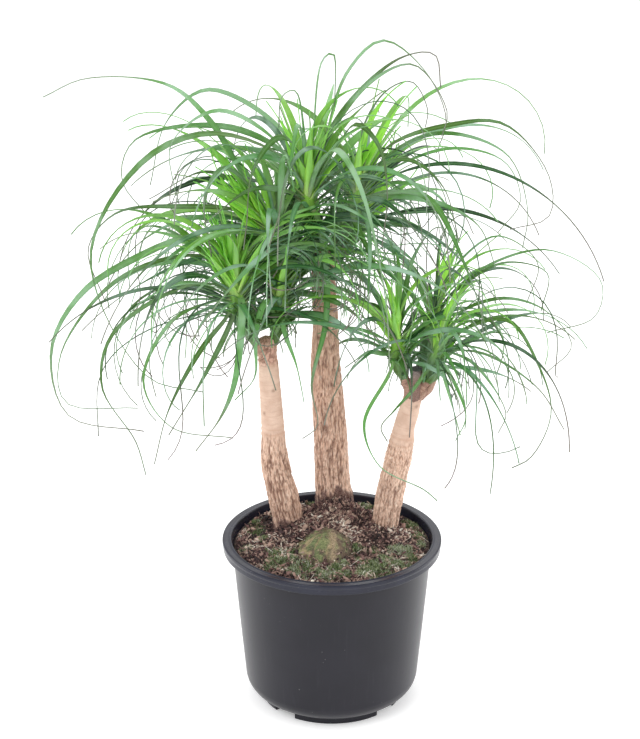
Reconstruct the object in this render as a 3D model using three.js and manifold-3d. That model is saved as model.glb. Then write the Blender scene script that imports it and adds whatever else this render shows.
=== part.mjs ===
// Potted ponytail palm: a nursery pot full of soil, a swollen foot with three trunks, and nine heads of
// strap leaves. Millimetres, +Z up, origin on the ground at the middle of the pot. The front is -Y.
import * as THREE from 'three';
import { mergeVertices } from 'three/addons/utils/BufferGeometryUtils.js';
import Module from 'manifold-3d';

const wasm = await Module();
wasm.setup();

const POT = {
  sides: 36,
  turn: 4, // degrees about Z
  rimRadius: 120,
  rimTop: 190,
  rimBand: 11.5,
  rimRound: 1.5,
  mouthRadius: 109.5,
  wall: 1.8,
  shoulder: { radius: 109, height: 178 },
  waist: { radius: 100, height: 73 },
  heel: { radius: 95.6, height: 26 },
  heelRound: 14,
  floorUnder: 8,
};
const FOOT = { outer: 79, inner: 72, stretch: 70, count: 4, steps: 6 };
const DRAIN = { radius: 6, circle: 51, count: 6, sides: 8 };

const SOIL = { gap: 0.4, edge: 177, mound: 13, bump: 1.6, rings: [0.86, 0.7, 0.53, 0.36, 0.18] };

const WOOD_GAP = 0.4; // between the wood and the soil
const TRUNK_SIDES = 14;
const SHOOT = { sides: 8, foot: 8.4, neck: 7.8 };
const LOBE_FACETS = [16, 9];
const BURIED_FOOT = { at: [3, 18, 138], radii: [60, 60, 38] };
const MOSSY_LOBE = { at: [-7, -32, 160], radii: [42, 40, 42] };
// Each trunk: [x, y, z, radius] from the buried end up.
const TRUNKS = [
  [
    [-38, 29, 145, 18], [-46, 30, 185, 16.7], [-53, 29, 221, 16.8], [-62, 27, 265, 15.2],
    [-64, 25, 304, 12.8], [-68, 21, 376, 11.3], [-69, 20, 405, 11],
  ],
  [
    [5, 66, 145, 27], [4, 72, 181, 22.6], [3, 70, 202, 21], [1, 68, 226, 19.5], [-2, 63, 292, 18.3],
    [-5, 60, 337, 17.1], [-7, 57, 379, 15.6], [-7, 54, 422, 13.5], [-9, 52, 462, 13.3], [-11, 50, 496, 11.7],
  ],
  [
    [46, 28, 145, 16], [57, 27, 181, 14.6], [63, 24, 223, 15.1], [71, 20, 268, 14.4], [75, 18, 290, 13],
    [78, 17, 312, 11.2], [87, 14, 350, 10.5], [90, 14, 372, 9],
  ],
];

const CORE = { gap: 0.3, length: 44, foot: 7.4, belly: 9, bellyAt: 14, tip: 3 };
const BLADE = { keel: 1.25, channel: 0.1, root: 0.6, fullAt: 0.14, taper: 2.4 };
const CLEARANCE = 0.35; // kept by a leaf from whatever isn't its own head
const NUDGES = [0, 4, -4, 8, -8, 13, -13, 19, -19, 26, -26, 34, -34, 43, -43]; // degrees, tried in turn
const STATIONS = { every: 42, least: 4, most: 10 }; // millimetres along a blade, and how many

// How a head's grown leaves differ from the lowest to the heart. Pairs in lists run from..to, angles are degrees.
const GROWTH = {
  steps: 60,
  spiral: 137.508, // from one leaf to the next
  spiralStray: 14,
  root: [6, 39], // up the head's axis
  lean: [76, 7], // off the head's axis
  leanBend: 0.9,
  leanStray: 8,
  heart: [0.66, 0.95], // over this stretch of the head the leaves go from arching to standing
  swell: [3.6, 0.75], // the leaves are longest part of the way up
  heartShortens: 0.52,
  heartLifts: 120,
  lengths: [0.85, 1.12],
  finish: [-98, -40],
  ease: [0.9, 1.5],
  sway: [-40, 40],
  width: [7, 9.5],
};

// Each head grows from `base` along `axis`, on a stub that leaves its trunk at `from`. `traced` leaves are
// [degrees round from +X, width, then points]. A point is [reach, height] from the base, and a third number
// moves it sideways.
const HEADS = [
  {
    name: 'leaves_middle_left', from: [-11, 50, 482], base: [-46, 30, 505], axis: [-0.55, -0.15, 0.8],
    seed: 32, grown: 14, longest: 276,
    traced: [
      [190, 10, [45, 80], [80, 145], [122, 185], [205, 195], [248, 178]],
      [192, 8, [50, 48], [115, 58], [180, 55], [210, 20], [195, -40]],
      [215, 9, [40, 70], [80, 105], [102, 78], [95, 10]],
      [188, 8, [40, 65], [85, 92], [145, 65]],
    ],
  },
  {
    name: 'leaves_middle_upright', from: [-11, 50, 488], base: [-24, 38, 535], axis: [-0.08, -0.05, 1],
    seed: 27, grown: 11, longest: 292,
    traced: [
      [172, 7, [25, 95], [105, 140], [150, 105], [170, 35]],
      [200, 8, [35, 90], [100, 130], [148, 100], [145, 45]],
      [182, 8, [20, 70], [85, 105], [180, 92], [195, 50], [165, 5]],
      [195, 9, [25, 70], [105, 106], [175, 85], [235, -10], [180, -150], [120, -175]],
      [205, 10, [20, 36], [75, 50], [135, 25]],
      [228, 9, [20, 85], [48, 102], [85, 75], [95, 20], [100, -5]],
      [252, 6, [20, 95], [38, 116], [60, 85], [100, 35], [135, 10]],
      [240, 8, [14, 22], [34, -10], [75, -38]],
      [10, 9, [15, 80], [40, 160], [76, 192], [120, 160], [145, 105], [135, 70]],
      [352, 9, [10, 75], [45, 135], [95, 180], [128, 184], [135, 150]],
      [344, 9, [15, 80], [65, 155], [110, 176], [145, 130], [140, 105]],
      [330, 9, [5, 95], [16, 176], [28, 184], [30, 125]],
      [190, 8, [5, 85], [15, 143], [28, 138], [32, 105]],
      [318, 9, [35, 85], [65, 118], [95, 100], [106, 55], [100, -5]],
      [284, 8, [35, 70], [120, 110], [220, 88], [296, 12], [312, -55]],
      [270, 8, [16, 10, 9], [24, -37, 17], [27, -101, 17], [28, -172, 2], [30, -219, 8], [32, -232, -8]],
    ],
  },
  {
    name: 'leaves_middle_right', from: [-11, 50, 490], base: [22, 48, 535], axis: [0.12, 0, 1],
    seed: 25, grown: 13, longest: 320,
    traced: [
      [5, 8, [10, 100], [35, 140], [60, 148], [77, 118], [75, 100]],
      [355, 8, [35, 80], [100, 106], [155, 108], [203, 55], [205, 10], [165, -5]],
      [345, 7, [35, 55], [105, 86], [160, 75], [177, 35], [155, 0]],
      [0, 7, [35, 70], [90, 95], [160, 72], [184, 10], [180, -30]],
      [330, 9, [20, 55], [65, 75], [105, 52], [125, -5]],
      [336, 9, [20, 28], [90, 32], [140, 12], [160, -30]],
      [318, 9, [25, 32], [100, 45], [150, -15], [185, -90], [192, -108]],
      [270, 9, [13, 25, -2], [33, 9, 2], [48, -16, 15], [57, -46, 29], [61, -82, 40]],
    ],
  },
  {
    name: 'leaves_middle_back', from: [-11, 50, 480], base: [22, 85, 505], axis: [0.45, 0.6, 0.66],
    seed: 41, grown: 18, longest: 241,
    traced: [],
  },
  {
    name: 'leaves_left_outer', from: [-69, 20, 388], base: [-98, 8, 440], axis: [-0.12, -0.1, 1],
    seed: 25, grown: 13, longest: 266,
    traced: [
      [192, 12, [15, 70], [45, 92], [105, 75], [165, 40], [200, -20], [185, -95], [105, -120]],
      [183, 8, [25, 65], [70, 68], [135, 38], [190, -40], [186, -92], [110, -100]],
      [205, 8, [25, 40], [60, 44], [140, 5], [155, -50], [120, -120], [110, -160]],
      [212, 7, [30, 24], [80, 12], [115, -45], [85, -105], [10, -135]],
      [220, 7, [15, 6], [50, -22], [95, -80], [115, -135]],
      [232, 8, [12, 2], [55, -45], [115, -95]],
      [270, 10, [18, 27, 3], [30, -4, 3], [40, -60, -5], [46, -95, -20], [52, -130, -46]],
    ],
  },
  {
    name: 'leaves_left_inner', from: [-69, 20, 385], base: [-56, 24, 432], axis: [0.05, 0.1, 1],
    seed: 14, grown: 13, longest: 270,
    traced: [
      [235, 8, [25, 27], [42, 0], [45, -50], [80, -65]],
      [270, 6, [14, -2, 4], [26, -41, 18], [32, -81, 26]],
      [330, 9, [15, 30], [45, 36], [85, 27], [120, 0]],
    ],
  },
  {
    name: 'leaves_right_inner', from: [87, 14, 348], base: [72, 4, 385], axis: [-0.12, -0.1, 1],
    seed: 12, grown: 12, longest: 230,
    traced: [
      [270, 8, [10, -3, -12], [18, -56, -38], [22, -104, -21], [26, -130, 27], [28, -142, 41]],
      [185, 8, [15, 32], [55, 48], [88, 42]],
      [198, 9, [15, 18], [35, 22], [62, 8]],
      [22, 9, [2, 65], [15, 125], [40, 152], [60, 136]],
    ],
  },
  {
    name: 'leaves_right_outer', from: [87, 14, 348], base: [107, 4, 378], axis: [0.2, -0.05, 0.97],
    seed: 8, grown: 12, longest: 235,
    traced: [
      [350, 7, [20, 65], [70, 90], [115, 80], [145, 42], [120, 10]],
      [340, 7, [35, 55], [80, 71], [112, 30], [130, -25], [110, -80], [90, -95]],
      [322, 8, [12, 28], [50, 25], [93, -20], [85, -45]],
      [300, 7, [20, 8], [55, -50]],
      [312, 7, [25, 8], [50, -32], [36, -65]],
      [333, 6, [20, 30], [60, 33], [120, 5], [150, -35]],
      [270, 7, [12, 8, -8], [15, -12, -22], [16, -36, -42], [17, -54, -55], [18, -70, -48]],
    ],
  },
  {
    name: 'leaves_right_back', from: [88, 15, 352], base: [103, 42, 400], axis: [0.25, 0.4, 0.88],
    seed: 97, grown: 13, longest: 242,
    traced: [
      [4, 6, [45, 75], [125, 102], [187, 65], [182, 25], [130, 8]],
      [0, 7, [20, 75], [70, 120], [115, 90], [105, 45]],
      [355, 6, [30, 60], [80, 93], [125, 82], [120, 40]],
      [350, 8, [8, 60], [14, 125], [34, 145], [46, 125]],
    ],
  },
];

const FINISHES = {
  pot: { color: 0x3e3e44, roughness: 0.45, metalness: 0 },
  soil: { color: 0x4a3a2e, roughness: 0.95, metalness: 0 },
  wood: { color: 0xbb9882, roughness: 0.85, metalness: 0 },
  leaves: { color: 0x3d8a3a, roughness: 0.45, metalness: 0 },
};

const { lerp, clamp, smoothstep, degToRad } = THREE.MathUtils;
const vector = (list) => new THREE.Vector3(...list);

// Solids

function solidOf(geometry) {
  geometry.deleteAttribute('normal');
  geometry.deleteAttribute('uv');
  const merged = mergeVertices(geometry, 1e-4);
  return new wasm.Manifold(new wasm.Mesh({
    numProp: 3,
    vertProperties: new Float32Array(merged.attributes.position.array),
    triVerts: new Uint32Array(merged.index.array),
  }));
}

function geometryOf(solid) {
  const { vertProperties, triVerts } = solid.getMesh();
  const geometry = new THREE.BufferGeometry();
  geometry.setAttribute('position', new THREE.BufferAttribute(vertProperties, 3));
  geometry.setIndex(new THREE.BufferAttribute(triVerts, 1));
  geometry.computeVertexNormals();
  return geometry;
}

// The biggest body of a fused solid: loose scraps and sealed hollows are bodies of their own.
function mainBody(solid) {
  return solid.decompose().reduce((best, body) => (body.volume() > best.volume() ? body : best));
}

// A closed skin over rings of points that run anticlockwise as seen looking back down the path.
function skinOf(rings) {
  const sides = rings[0].length;
  const points = rings.flat();
  const faces = [];
  for (let k = 0; k < rings.length - 1; k++) {
    for (let i = 0; i < sides; i++) {
      const [a, b] = [k * sides + i, k * sides + ((i + 1) % sides)];
      faces.push(a, b, b + sides, a, b + sides, a + sides);
    }
  }
  const top = (rings.length - 1) * sides;
  for (let i = 1; i < sides - 1; i++) {
    faces.push(0, i + 1, i, top, top + i, top + i + 1);
  }
  const geometry = new THREE.BufferGeometry().setFromPoints(points);
  geometry.setIndex(faces);
  return geometry;
}

// A round bar through [x, y, z, radius] stations, each ring square to the path there.
function barOf(stations, sides, spare = 0) {
  const path = stations.map(([x, y, z]) => new THREE.Vector3(x, y, z));
  const rings = path.map((point, k) => {
    const ahead = path[Math.min(k + 1, path.length - 1)].clone().sub(path[Math.max(k - 1, 0)]).normalize();
    if (k === path.length - 1) ahead.subVectors(point, path[k - 1]).normalize();
    if (k === 0) ahead.subVectors(path[1], point).normalize();
    const across = new THREE.Vector3(1, 0, 0).addScaledVector(ahead, -ahead.x).normalize();
    const around = ahead.clone().cross(across);
    return Array.from({ length: sides }, (_, i) => {
      const angle = (2 * Math.PI * i) / sides;
      return point.clone()
        .addScaledVector(across, (stations[k][3] + spare) * Math.cos(angle))
        .addScaledVector(around, (stations[k][3] + spare) * Math.sin(angle));
    });
  });
  return solidOf(skinOf(rings));
}

function ellipsoid({ at, radii }, spare = 0) {
  const geometry = new THREE.SphereGeometry(1, ...LOBE_FACETS);
  geometry.rotateX(Math.PI / 2);
  geometry.scale(...radii.map((r) => r + spare));
  geometry.translate(...at);
  return solidOf(geometry);
}

// Turns an outline of [radius, height] pairs about Z.
function turned(outline) {
  const geometry = new THREE.LatheGeometry(outline.map(([r, z]) => new THREE.Vector2(r, z)), POT.sides);
  geometry.rotateX(Math.PI / 2);
  geometry.rotateZ(degToRad(POT.turn));
  return solidOf(geometry);
}

// Pot

// The wall's outer line from the rounded heel to the shoulder; `inset` moves it inwards.
function wallLine(inset) {
  const { heel, heelRound, waist, shoulder, floorUnder } = POT;
  const round = heelRound - inset;
  const middle = [heel.radius - heelRound, floorUnder + heelRound];
  const arc = [0, 45].map((a) => [
    middle[0] + round * Math.sin(degToRad(a)),
    middle[1] - round * Math.cos(degToRad(a)),
  ]);
  return [...arc, ...[heel, waist, shoulder].map(({ radius, height }) => [radius - inset, height])];
}

function rimLine() {
  const { rimRadius, rimTop, rimBand, rimRound, mouthRadius, wall } = POT;
  const skirtFoot = rimTop - rimBand;
  return [
    [mouthRadius, rimTop - wall],
    [rimRadius - wall, rimTop - wall],
    [rimRadius - wall, skirtFoot],
    [rimRadius, skirtFoot],
    [rimRadius, rimTop - rimRound],
    [rimRadius - rimRound, rimTop],
    [mouthRadius + rimRound, rimTop],
    [mouthRadius - wall, rimTop - rimRound],
  ];
}

function makePot() {
  const { wall, floorUnder } = POT;
  const shell = turned([
    [0, floorUnder],
    ...wallLine(0),
    ...rimLine(),
    ...wallLine(wall).reverse(),
    [0, floorUnder + wall],
  ]);
  const feet = Array.from({ length: FOOT.count }, (_, i) => {
    const middle = POT.turn + (360 / FOOT.count) * i;
    const [start, end] = [degToRad(middle - FOOT.stretch / 2), degToRad(middle + FOOT.stretch / 2)];
    const shape = new THREE.Shape();
    shape.absarc(0, 0, FOOT.outer, start, end, false);
    shape.absarc(0, 0, FOOT.inner, end, start, true);
    const depth = floorUnder + wall / 2;
    return solidOf(new THREE.ExtrudeGeometry(shape, { depth, bevelEnabled: false, curveSegments: FOOT.steps }));
  });
  const drains = Array.from({ length: DRAIN.count }, (_, i) => {
    const angle = degToRad(POT.turn + (360 / DRAIN.count) * (i + 0.5));
    const geometry = new THREE.CylinderGeometry(DRAIN.radius, DRAIN.radius, 4 * wall, DRAIN.sides);
    geometry.rotateX(Math.PI / 2);
    geometry.translate(DRAIN.circle * Math.cos(angle), DRAIN.circle * Math.sin(angle), floorUnder);
    return solidOf(geometry);
  });
  return wasm.Manifold.union([shell, ...feet]).subtract(wasm.Manifold.union(drains));
}

// Wood

function makeWood(spare = 0) {
  const trunks = TRUNKS.map((stations) => barOf(stations, TRUNK_SIDES, spare));
  const shoots = HEADS.map(({ from, base, axis }) => {
    const end = vector(base);
    const neck = end.clone().addScaledVector(vector(axis).normalize(), -CORE.bellyAt);
    const stations = [[...from, SHOOT.foot], [...neck.toArray(), SHOOT.neck], [...base, CORE.foot]];
    return barOf(stations, SHOOT.sides, spare);
  });
  const swellings = [BURIED_FOOT, MOSSY_LOBE].map((lobe) => ellipsoid(lobe, spare));
  return wasm.Manifold.union([...trunks, ...shoots, ...swellings]);
}

// Soil

function soilHeight(x, y) {
  const edgeRadius = POT.shoulder.radius - POT.wall;
  const out = Math.min(1, Math.hypot(x, y) / edgeRadius);
  const bumps = Math.sin(x / 9 + 1) * Math.cos(y / 11) + 0.6 * Math.sin((x + 2 * y) / 15);
  return SOIL.edge + SOIL.mound * (1 - out * out) + SOIL.bump * bumps * (1 - out ** 6);
}

function makeSoil(hole) {
  const side = wallLine(POT.wall + SOIL.gap);
  const [waist, shoulder] = side.slice(-2);
  const climb = (SOIL.edge - waist[1]) / (shoulder[1] - waist[1]);
  side[side.length - 1] = [lerp(waist[0], shoulder[0], climb), SOIL.edge];
  const edge = side[side.length - 1][0];
  const bottom = side.map(([r, z]) => [r, z]);
  bottom.unshift([0, POT.floorUnder + POT.wall + SOIL.gap]);
  const geometry = new THREE.LatheGeometry(
    [...bottom, ...SOIL.rings.map((s) => [s * edge, SOIL.edge]), [0, SOIL.edge]]
      .map(([r, z]) => new THREE.Vector2(r, z)),
    POT.sides,
  );
  geometry.rotateX(Math.PI / 2);
  geometry.rotateZ(degToRad(POT.turn));
  const { position } = geometry.attributes;
  for (let i = 0; i < position.count; i++) {
    if (position.getZ(i) < SOIL.edge - 0.01) continue;
    position.setZ(i, soilHeight(position.getX(i), position.getY(i)));
  }
  return mainBody(solidOf(geometry).subtract(hole));
}

// Leaves

// The same draws for the same seed, each between the two numbers given.
function drawer(seed) {
  let state = seed;
  return (low, high) => {
    state = (state * 1664525 + 1013904223) % 4294967296;
    return low + ((high - low) * state) / 4294967296;
  };
}

function headFrame({ base, axis }) {
  const up = vector(axis).normalize();
  const right = new THREE.Vector3(1, 0, 0).addScaledVector(up, -up.x).normalize();
  return { base: vector(base), up, right, away: up.clone().cross(right) };
}

function makeCore(head) {
  const { base, up } = headFrame(head);
  const at = (along) => base.clone().addScaledVector(up, along).toArray();
  return barOf([
    [...at(CORE.gap), CORE.foot],
    [...at(CORE.bellyAt), CORE.belly],
    [...at(CORE.length), CORE.tip],
  ], SHOOT.sides);
}

const stationsOn = (length) => clamp(Math.round(length / STATIONS.every), STATIONS.least, STATIONS.most);

// A traced leaf's course: where its middle runs, and the level line across it at each point.
function tracedCourse(head, leaf, nudge) {
  const { base, up } = headFrame(head);
  const heading = degToRad(leaf.round + nudge);
  const along = new THREE.Vector3(Math.cos(heading), Math.sin(heading), 0);
  const across = new THREE.Vector3(-Math.sin(heading), Math.cos(heading), 0);
  const points = leaf.route.map(([reach, height, aside = 0]) => base.clone()
    .addScaledVector(along, reach)
    .addScaledVector(across, aside)
    .add(new THREE.Vector3(0, 0, height)));
  points.unshift(base.clone().addScaledVector(up, CORE.length / 2));
  const curve = new THREE.CatmullRomCurve3(points);
  const middle = curve.getSpacedPoints(stationsOn(curve.getLength()) + 1);
  return { middle, across: middle.map(() => across) };
}

// A grown leaf's course: it sets out at its lean from the head's axis, and its heading sinks as it goes.
function grownCourse(head, leaf, nudge) {
  const { base, up, right, away } = headFrame(head);
  const round = degToRad(leaf.round + nudge);
  const lean = degToRad(leaf.lean);
  const outward = right.clone().multiplyScalar(Math.cos(round)).addScaledVector(away, Math.sin(round));
  const start = up.clone().multiplyScalar(Math.cos(lean)).addScaledVector(outward, Math.sin(lean));
  const rise = Math.asin(clamp(start.z, -1, 1));
  const bearing = Math.atan2(start.y, start.x);
  const fall = rise - degToRad(leaf.finish);
  const step = leaf.length / GROWTH.steps;
  const point = base.clone().addScaledVector(up, leaf.root);
  const [middle, across] = [[], []];
  for (let k = 0; k <= GROWTH.steps; k++) {
    const s = k / GROWTH.steps;
    const turn = bearing + degToRad(leaf.sway) * s * s;
    middle.push(point.clone());
    across.push(new THREE.Vector3(-Math.sin(turn), Math.cos(turn), 0));
    const slope = rise - fall * s ** leaf.ease;
    point.add(new THREE.Vector3(
      Math.cos(slope) * Math.cos(turn),
      Math.cos(slope) * Math.sin(turn),
      Math.sin(slope),
    ).multiplyScalar(step));
  }
  const count = stationsOn(leaf.length);
  const kept = Array.from({ length: count + 1 }, (_, k) => Math.round((k * GROWTH.steps) / count));
  return { middle: kept.map((k) => middle[k]), across: kept.map((k) => across[k]) };
}

// The leaves that a head grows by rule, from the lowest, which hang, to the heart, which stands.
function grownLeaves(head) {
  const draw = drawer(head.seed);
  const g = GROWTH;
  return Array.from({ length: head.grown }, (_, i) => {
    const f = i / (head.grown - 1);
    const heart = smoothstep(f, ...g.heart);
    const swelling = 0.5 + 0.5 * Math.sin(g.swell[0] * Math.min(f, g.swell[1]));
    return {
      course: grownCourse,
      round: g.spiral * i + draw(-g.spiralStray, g.spiralStray),
      root: lerp(...g.root, f),
      lean: lerp(...g.lean, f ** g.leanBend) + draw(-g.leanStray, g.leanStray),
      length: head.longest * swelling * (1 - g.heartShortens * heart) * draw(...g.lengths),
      finish: draw(...g.finish) + g.heartLifts * heart,
      ease: draw(...g.ease),
      sway: draw(...g.sway),
      width: draw(...g.width),
    };
  });
}

function tracedLeaves(head) {
  return head.traced.map(([round, width, ...route]) => ({ course: tracedCourse, round, width, route }));
}

// A blade of three-sided section: two edges, and a keel under the middle. It narrows to a point.
function makeBlade({ middle, across }, width, spare = 0) {
  const last = middle.length - 1;
  const rings = middle.slice(0, last).map((point, k) => {
    const s = k / last;
    const ahead = middle[Math.min(k + 1, last)].clone().sub(middle[Math.max(k - 1, 0)]).normalize();
    const side = across[k].clone().addScaledVector(ahead, -ahead.dot(across[k])).normalize();
    const over = ahead.clone().cross(side);
    const full = width * Math.min(1, BLADE.root + ((1 - BLADE.root) * s) / BLADE.fullAt) * (1 - s ** BLADE.taper);
    const lift = BLADE.channel * full + spare;
    return [
      point.clone().addScaledVector(side, full / 2 + 2 * spare).addScaledVector(over, lift),
      point.clone().addScaledVector(side, -full / 2 - 2 * spare).addScaledVector(over, lift),
      point.clone().addScaledVector(over, -BLADE.keel - 2 * spare),
    ];
  });
  const beyond = middle[last].clone().sub(middle[last - 1]).setLength(2 * spare);
  rings.push([0, 1, 2].map(() => middle[last].clone().add(beyond)));
  return solidOf(skinOf(rings));
}

const boxesMeet = (a, b) => [0, 1, 2].every((i) => a.min[i] <= b.max[i] && b.min[i] <= a.max[i]);

function isClear(solid, obstacles) {
  const box = solid.boundingBox();
  return !obstacles.some((other) => boxesMeet(box, other.box) && !solid.intersect(other.solid).isEmpty());
}

// Each leaf is turned a little about its head until it clears what isn't its own head.
function growHeads(fixed) {
  const boxed = (solid) => ({ solid, box: solid.boundingBox() });
  const plants = HEADS.map((head) => ({ head, pieces: [boxed(makeCore(head))] }));
  const place = (plant, leaf) => {
    const obstacles = [...fixed.map(boxed), ...plants.filter((p) => p !== plant).flatMap((p) => p.pieces)];
    for (const nudge of NUDGES) {
      const course = leaf.course(plant.head, leaf, nudge);
      if (isClear(makeBlade(course, leaf.width, CLEARANCE), obstacles)) {
        plant.pieces.push(boxed(makeBlade(course, leaf.width)));
        return;
      }
    }
  };
  plants.forEach((plant) => tracedLeaves(plant.head).forEach((leaf) => place(plant, leaf)));
  plants.forEach((plant) => grownLeaves(plant.head).forEach((leaf) => place(plant, leaf)));
  return plants.map(({ head, pieces }) => ({
    name: head.name,
    solid: mainBody(wasm.Manifold.union(pieces.map(({ solid }) => solid))),
  }));
}

// Assembly

function addPart(group, name, solid, finish) {
  const mesh = new THREE.Mesh(geometryOf(solid), new THREE.MeshStandardMaterial(finish));
  mesh.name = name;
  group.add(mesh);
}

const pot = makePot();
const wood = makeWood();
const soil = makeSoil(makeWood(WOOD_GAP));
const heads = growHeads([pot, wood, soil]);

const palm = new THREE.Group();
addPart(palm, 'pot', pot, FINISHES.pot);
addPart(palm, 'soil', soil, FINISHES.soil);
addPart(palm, 'caudex_trunks', wood, FINISHES.wood);
heads.forEach(({ name, solid }) => addPart(palm, name, solid, FINISHES.leaves));

export default palm;
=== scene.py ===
# A potted ponytail palm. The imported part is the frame, and every node of it gets a finer piece, worked out
# here with numpy. Lengths are millimetres until a piece becomes a mesh, +Z is up, and the front is -Y.
import math
import bpy
import numpy as np
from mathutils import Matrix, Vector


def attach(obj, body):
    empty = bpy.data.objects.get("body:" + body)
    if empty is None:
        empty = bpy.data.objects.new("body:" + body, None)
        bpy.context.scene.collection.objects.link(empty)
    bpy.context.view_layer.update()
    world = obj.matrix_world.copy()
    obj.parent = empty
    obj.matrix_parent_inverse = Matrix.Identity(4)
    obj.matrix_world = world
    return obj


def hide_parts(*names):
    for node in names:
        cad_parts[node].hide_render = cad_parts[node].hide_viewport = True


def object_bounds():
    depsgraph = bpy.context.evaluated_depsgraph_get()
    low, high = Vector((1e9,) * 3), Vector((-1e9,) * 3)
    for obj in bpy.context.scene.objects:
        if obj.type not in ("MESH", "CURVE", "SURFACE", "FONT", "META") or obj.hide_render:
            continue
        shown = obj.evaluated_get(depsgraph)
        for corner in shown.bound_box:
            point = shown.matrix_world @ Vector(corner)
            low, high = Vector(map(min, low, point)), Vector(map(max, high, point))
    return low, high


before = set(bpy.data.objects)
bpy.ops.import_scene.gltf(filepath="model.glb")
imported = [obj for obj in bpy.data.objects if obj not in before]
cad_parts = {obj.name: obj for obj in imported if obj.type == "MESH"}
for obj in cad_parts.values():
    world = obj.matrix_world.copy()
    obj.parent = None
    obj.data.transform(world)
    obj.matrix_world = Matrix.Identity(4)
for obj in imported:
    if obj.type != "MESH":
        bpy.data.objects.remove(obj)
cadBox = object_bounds()
print("frame loaded:", len(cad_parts), "nodes")

mm = 0.001
wholeBox = np.array([list(corner) for corner in cadBox]) / mm


# Number helpers

# Vectors divided by their lengths
def unit(vectors):
    return vectors / np.linalg.norm(vectors, axis=-1, keepdims=True)


# 0 below low, 1 above high, and 3t^2 - 2t^3 between them
def ease(low, high, x):
    t = np.clip((x - low) / (high - low), 0, 1)
    return t * t * (3 - 2 * t)


# A straight blend: low where the share is 0, high where it is 1
def between(low, high, share):
    return low + (high - low) * share


# Stacks numbers and arrays of any matching shapes as x, y, z
def xyz(x, y, z=0.0):
    return np.stack(np.broadcast_arrays(x, y, z), axis=-1).astype(float)


# The same from x = r cos a, y = r sin a
def polar(radius, angle, z=0.0):
    return xyz(radius * np.cos(angle), radius * np.sin(angle), z)


# Angles evenly spaced round a full turn
def fullTurn(count):
    return np.linspace(0, 2 * np.pi, count, endpoint=False)


# A repeatable value from 0 to 1 for each whole-number corner of space
def cornerValues(corner, seed):
    key = corner[..., 0] * 73856093 ^ corner[..., 1] * 19349663 ^ corner[..., 2] * 83492791 ^ seed * 40503
    key = (key ^ key >> 13) * 1274126177 & 0xFFFFFFFF
    return ((key ^ key >> 16) & 0xFFFF) / 65535


# Smooth noise: each point blends the values of the eight corners round it, weighted by 3t^2 - 2t^3
def softNoise(points, seed):
    corner = np.floor(points).astype(np.int64)
    t = ease(0, 1, points - corner)
    total = np.zeros(points.shape[:-1])
    for step in np.ndindex(2, 2, 2):
        weight = np.prod(np.where(np.array(step) == 1, t, 1 - t), axis=-1)
        total += weight * cornerValues(corner + np.array(step), seed)
    return total


# Layers of noise, each twice as fine and half as strong as the one before, brought back to 0..1
def layeredNoise(points, seed, layers):
    strengths = 0.5 ** np.arange(layers)
    total = sum(k * softNoise(points * 2.0 ** i, seed + 17 * i) for i, k in enumerate(strengths))
    return total / strengths.sum()


# The same from -0.5 to 0.5
def bumps(points, seed, layers):
    return layeredNoise(points, seed, layers) - 0.5


# Bright along the lines where layered noise crosses its middle value: cracks, veins and wrinkles
def crackLines(points, seed, low, high, layers=3):
    return ease(low, high, 1 - 4 * np.abs(bumps(points, seed, layers)))


# A smooth curve through the points (centripetal Catmull-Rom), `count` stations evenly spaced along it.
# Columns after the third, such as a radius, are carried along.
def smoothPath(points, count):
    points = np.asarray(points, float)
    ends = np.vstack([2 * points[0] - points[1], points, 2 * points[-1] - points[-2]])
    gaps = np.linalg.norm(np.diff(ends[:, :3], axis=0), axis=1) ** 0.5
    t = np.linspace(0, 1, 40, endpoint=False)[:, None]
    fine = []
    for i in range(len(points) - 1):
        a, b, c, d = ends[i:i + 4]
        g0, g1, g2 = gaps[i:i + 3]
        leave = ((b - a) / g0 - (c - a) / (g0 + g1) + (c - b) / g1) * g1
        arrive = ((c - b) / g1 - (d - b) / (g1 + g2) + (d - c) / g2) * g1
        fine.append(b + leave * t + (3 * (c - b) - 2 * leave - arrive) * t ** 2
                    + (2 * (b - c) + leave + arrive) * t ** 3)
    fine = np.vstack(fine + [points[-1:]])
    run = np.concatenate([[0], np.cumsum(np.linalg.norm(np.diff(fine[:, :3], axis=0), axis=1))])
    even = np.linspace(0, run[-1], count)
    return np.stack([np.interp(even, run, column) for column in fine.T], axis=1), run[-1]


# Meshes

# Quads of a grid of `rows` rings, each closed round its `columns` points
def ringQuads(rows, columns):
    i, j = np.meshgrid(np.arange(rows - 1), np.arange(columns), indexing="ij")
    here, side = i * columns + j, i * columns + (j + 1) % columns
    return np.stack([here, side, side + columns, here + columns], axis=-1).reshape(-1, 4)


# Triangles from a pole to the first or the last ring, so that a tube of rings is closed
def poleFans(rows, columns):
    j = np.arange(columns)
    side, top, pole = (j + 1) % columns, (rows - 1) * columns, np.full(columns, rows * columns)
    return np.vstack([np.stack([pole, side, j], axis=1), np.stack([pole + 1, top + j, top + side], axis=1)])


# A new object, linked to the scene
def addObject(name, data):
    made = bpy.data.objects.new(name, data)
    bpy.context.scene.collection.objects.link(made)
    return made


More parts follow.
